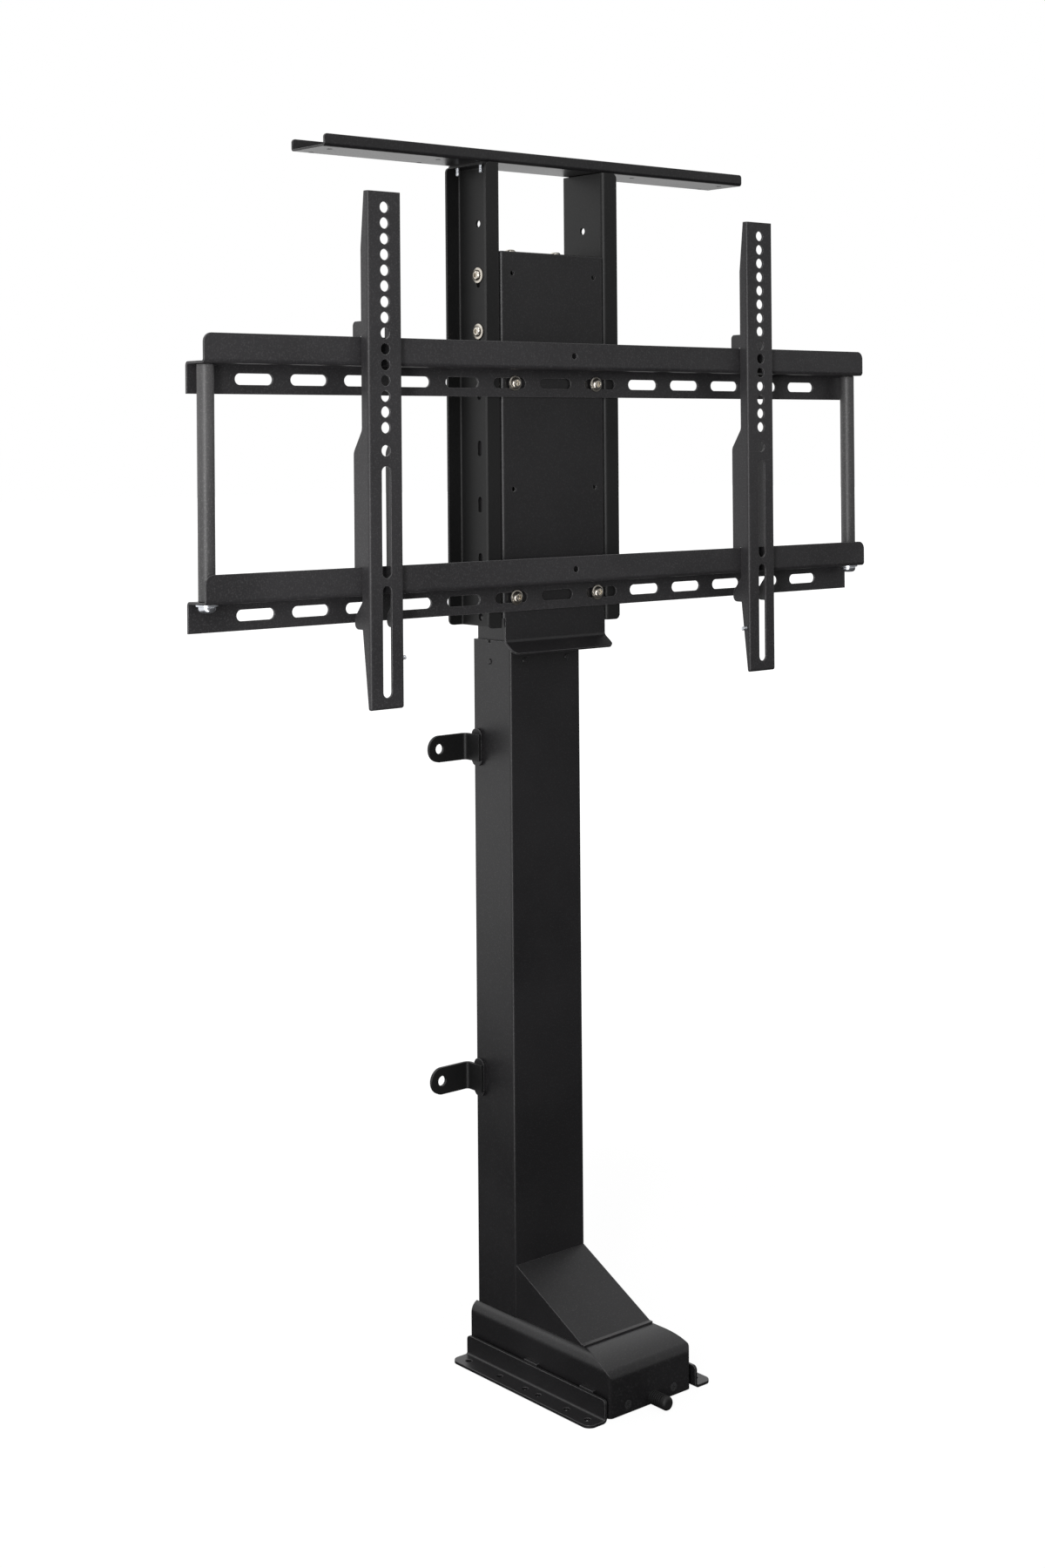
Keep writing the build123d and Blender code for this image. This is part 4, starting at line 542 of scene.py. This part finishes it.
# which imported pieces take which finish; all the others are black sheet
finishOf = {
    "rail_coat": ["rail_upper", "rail_lower", "arm_left", "arm_right"],
    "post_coat": ["post_left", "post_right"],
    "strap_coat": [
        "wall_strap_upper_left", "wall_strap_upper_right",
        "wall_strap_lower_left", "wall_strap_lower_right", "upright_left", "upright_right",
    ],
    "black_screw": ["cover_screws", "bracket_bolts"],
    "zinc_plate": [
        "gearbox_screws", "middle_nut_screws", "inner_nut_screws", "cap_screws",
        "upright_bolts", "carriage_nuts", "rail_bolts",
    ],
    "bright_zinc": [
        "top_bracket_screws", "post_screws", "post_washers",
        "arm_left_screw", "arm_right_screw",
    ],
    "machined_steel": [
        "worm_shaft", "spindle_sleeves", "spindle_bearings", "worm_bearings",
        "thrust_ring", "tube_retainer",
    ],
    "lift_thread": ["lift_spindle", "screw_tube"],
    "cast_housing": ["gearbox_housing", "gearbox_lid"],
    "gear_brass": ["worm_wheel"],
    "glide_plastic": [
        "column_liner", "middle_liner", "middle_shoe", "inner_shoe", "column_cap",
    ],
    "nut_plastic": ["middle_nut", "inner_nut"],
    "gland_rubber": ["cable_gland"],
    "motor_can": ["motor"],
}


def paint(piece, finish):
    if not piece.data.materials:
        piece.data.materials.append(finish)
    for place in piece.material_slots:
        place.material = finish


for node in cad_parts.values():
    paint(node, finishes["black_coat"])
for finishName, names in finishOf.items():
    for name in names:
        paint(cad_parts[name], finishes[finishName])
print("finishes on the packed pieces")


def selectOnly(*pieces):
    bpy.ops.object.select_all(action="DESELECT")
    for piece in pieces:
        piece.select_set(True)
    bpy.context.view_layer.objects.active = pieces[-1]


def turned(name, profile, sides):
    # a round piece grown ring by ring from its lower end, as (radius, height) pairs
    radius, height = profile[0]
    bpy.ops.object.select_all(action="DESELECT")
    bpy.ops.mesh.primitive_circle_add(
        vertices=sides, radius=radius, fill_type="NGON", location=(0.0, 0.0, height)
    )
    piece = bpy.context.object
    piece.name = name
    bpy.ops.object.transform_apply(location=True, rotation=True, scale=True)
    bpy.ops.object.mode_set(mode="EDIT")
    bpy.ops.mesh.select_all(action="SELECT")
    for wide, high in profile[1:]:
        bpy.ops.mesh.extrude_region_move(
            TRANSFORM_OT_translate={"value": (0.0, 0.0, high - height)}
        )
        growth = wide / radius
        bpy.ops.transform.resize(
            value=(growth, growth, 1.0), center_override=(0.0, 0.0, high)
        )
        radius, height = wide, high
    bpy.ops.mesh.select_all(action="SELECT")
    bpy.ops.mesh.normals_make_consistent(inside=False)
    bpy.ops.object.mode_set(mode="OBJECT")
    return piece


def applyModifier(piece, kind, **settings):
    tool = piece.modifiers.new("shape", kind)
    for key, value in settings.items():
        setattr(tool, key, value)
    selectOnly(piece)
    bpy.ops.object.modifier_apply(modifier=tool.name)


# the form every screw shares; shares are of the size in brackets
screwForm = {
    "point": 0.8,  # the tip's radius (shank)
    "leadIn": 0.3,  # the tip's height (pitch)
    "root": 0.86,  # the thread's root (shank)
    "plain": 0.2,  # left without thread below the head (shank's length)
    "top": 1.12,  # the crown's flat round the recess (recess)
    "crownSteps": 5,
    "crossArm": 0.36,  # width of a cross recess's arms (recess)
    "round": 0.14 * mm,
    "roundSegments": 2,
    "roundAngle": math.radians(38),
    "smoothAngle": math.radians(34),
}


def cutRecess(piece, kind, wide, deep, height):
    bpy.ops.object.select_all(action="DESELECT")
    if kind == "hex":
        bpy.ops.mesh.primitive_cylinder_add(
            vertices=6, radius=wide, depth=2 * deep, location=(0.0, 0.0, height)
        )
        cutters = [bpy.context.object]
    else:
        cutters = []
        arm = screwForm["crossArm"] * wide
        for slotSize in ((arm, 2 * wide, 2 * deep), (2 * wide, arm, 2 * deep)):
            bpy.ops.mesh.primitive_cube_add(
                size=1.0, location=(0.0, 0.0, height), scale=slotSize
            )
            cutters.append(bpy.context.object)
    for cutter in cutters:
        applyModifier(piece, "BOOLEAN", operation="DIFFERENCE", solver="EXACT", object=cutter)
        bpy.data.objects.remove(cutter)


def makeScrew(name, spec, shankLength):
    # head on the XY plane, shank running down
    shank, flange, crown = spec["shank"] * mm, spec["flange"] * mm, spec["crown"] * mm
    rim, height = spec["rim"] * mm, spec["height"] * mm
    pitch, top = spec["pitch"] * mm, spec["wide"] * screwForm["top"] * mm
    level = -shankLength + screwForm["leadIn"] * pitch
    profile = [(shank * screwForm["point"], -shankLength), (shank, level)]
    while level + pitch < -screwForm["plain"] * shankLength:
        profile += [(shank * screwForm["root"], level + pitch / 2), (shank, level + pitch)]
        level += pitch
    profile += [(shank, 0.0), (flange, 0.0), (flange, rim)]
    if crown < flange:
        profile.append((crown, rim))
    steps = screwForm["crownSteps"]
    for part in range(1, steps + 1):
        angle = part * math.pi / (2 * steps)
        profile.append(
            (top + (crown - top) * math.cos(angle), rim + (height - rim) * math.sin(angle))
        )
    screw = turned(name, profile, spec["sides"])
    cutRecess(screw, spec["recess"], spec["wide"] * mm, spec["deep"] * mm, height)
    applyModifier(
        screw, "BEVEL", width=screwForm["round"], segments=screwForm["roundSegments"],
        limit_method="ANGLE", angle_limit=screwForm["roundAngle"], use_clamp_overlap=True,
    )
    selectOnly(screw)
    bpy.ops.object.shade_smooth_by_angle(angle=screwForm["smoothAngle"])
    return screw


weldDecimals = 6  # points that agree to a micrometre are one point
headShare = 0.9  # points farther out than this share of the radius are on the head


def solidsOf(name):
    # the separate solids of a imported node, each as its list of points
    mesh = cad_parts[name].data
    spots = [tuple(round(c, weldDecimals) for c in v.co) for v in mesh.vertices]
    lead = {spot: spot for spot in spots}

    def first(spot):
        while lead[spot] != spot:
            lead[spot] = lead[lead[spot]]
            spot = lead[spot]
        return spot

    for face in mesh.polygons:
        start = first(spots[face.vertices[0]])
        for corner in face.vertices[1:]:
            lead[first(spots[corner])] = start
    groups = {}
    for spot in set(spots):
        groups.setdefault(first(spot), []).append(spot)
    return sorted(groups.values(), key=min)


def seatsOf(name, axis, headHeight):
    # for each screw: the place of its seat, the way its head faces, its shank's length
    seats = []
    others = [i for i in range(3) if i != axis]
    for points in solidsOf(name):
        low = [min(p[i] for p in points) for i in range(3)]
        high = [max(p[i] for p in points) for i in range(3)]
        middle = [(a + b) / 2 for a, b in zip(low, high)]
        reach = max(high[i] - low[i] for i in others) / 2
        wide = [
            p[axis] for p in points
            if math.hypot(*(p[i] - middle[i] for i in others)) > headShare * reach
        ]
        way = 1 if sum(wide) / len(wide) > middle[axis] else -1
        place = list(middle)
        place[axis] = (high[axis] if way > 0 else low[axis]) - way * headHeight
        seats.append((tuple(place), way, high[axis] - low[axis] - headHeight))
    return seats


def turnTo(axis, way):
    if axis == 0:
        return (0.0, way * math.pi / 2, 0.0)
    if axis == 1:
        return (-way * math.pi / 2, 0.0, 0.0)
    return (0.0, 0.0, 0.0) if way > 0 else (math.pi, 0.0, 0.0)


def setScrews(name, spec):
    seats = seatsOf(spec["node"], spec["axis"], spec["height"] * mm)
    master = makeScrew(name, spec, seats[0][2])
    copies = []
    for place, way, _ in seats:
        copy = master.copy()
        copy.data = master.data.copy()
        scene.collection.objects.link(copy)
        copy.location = place
        copy.rotation_euler = turnTo(spec["axis"], way)
        copies.append(copy)
    bpy.data.objects.remove(master)
    selectOnly(*copies)
    bpy.ops.object.transform_apply(location=True, rotation=True, scale=True)
    if len(copies) > 1:
        bpy.ops.object.join()
    piece = bpy.context.object
    piece.name = name
    piece.data.materials.clear()
    piece.data.materials.append(finishes[spec["finish"]])
    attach(piece, spec["body"])
    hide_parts(spec["node"])
    print(name, "set,", len(seats), "of them")


# screws that show: sizes in millimetres, radii for widths, with axis 0 for X, 1 for Y, 2 for Z
railBolts = {
    "node": "rail_bolts", "body": "carriage", "slot": "zinc_plate", "finish": "zinc_plate",
    "axis": 1, "sides": 40, "flange": 7.0, "rim": 1.2, "crown": 5.5, "height": 4.6,
    "shank": 4.0, "pitch": 1.25, "recess": "hex", "wide": 2.6, "deep": 2.6,
}
setScrews("railBolts", railBolts)

uprightBolts = {
    "node": "upright_bolts", "body": "carriage", "slot": "zinc_plate", "finish": "zinc_plate",
    "axis": 0, "sides": 40, "flange": 7.2, "rim": 1.1, "crown": 5.0, "height": 4.0,
    "shank": 2.5, "pitch": 0.8, "recess": "hex", "wide": 2.2, "deep": 2.3,
}
setScrews("uprightBolts", uprightBolts)

capScrews = {
    "node": "cap_screws", "body": "carriage", "slot": "zinc_plate", "finish": "zinc_plate",
    "axis": 2, "sides": 40, "flange": 6.5, "rim": 1.0, "crown": 5.4, "height": 4.5,
    "shank": 3.0, "pitch": 1.0, "recess": "hex", "wide": 2.3, "deep": 2.4,
}
setScrews("capScrews", capScrews)

postScrews = {
    "node": "post_screws", "body": "carriage", "slot": "zinc_plate", "finish": "bright_zinc",
    "axis": 2, "sides": 40, "flange": 7.35, "rim": 1.6, "crown": 7.35, "height": 5.5,
    "shank": 4.0, "pitch": 1.25, "recess": "cross", "wide": 3.3, "deep": 3.0,
}
setScrews("postScrews", postScrews)

tabScrews = {
    "node": "top_bracket_screws", "body": "carriage",
    "slot": "zinc_plate", "finish": "bright_zinc",
    "axis": 2, "sides": 32, "flange": 4.2, "rim": 0.8, "crown": 4.2, "height": 2.8,
    "shank": 2.0, "pitch": 0.7, "recess": "cross", "wide": 2.1, "deep": 1.7,
}
setScrews("tabScrews", tabScrews)

armScrewLeft = {
    "node": "arm_left_screw", "body": "arm_left",
    "slot": "zinc_plate", "finish": "bright_zinc",
    "axis": 0, "sides": 32, "flange": 3.2, "rim": 0.7, "crown": 3.2, "height": 2.6,
    "shank": 1.9, "pitch": 0.7, "recess": "cross", "wide": 1.6, "deep": 1.5,
}
setScrews("armScrewLeft", armScrewLeft)

armScrewRight = {**armScrewLeft, "node": "arm_right_screw", "body": "arm_right"}
setScrews("armScrewRight", armScrewRight)

bracketBolts = {
    "node": "bracket_bolts", "body": "base", "slot": "black_screw", "finish": "black_screw",
    "axis": 0, "sides": 32, "flange": 5.6, "rim": 1.0, "crown": 5.6, "height": 3.4,
    "shank": 3.0, "pitch": 1.0, "recess": "hex", "wide": 2.1, "deep": 1.9,
}
setScrews("bracketBolts", bracketBolts)

print("all set")
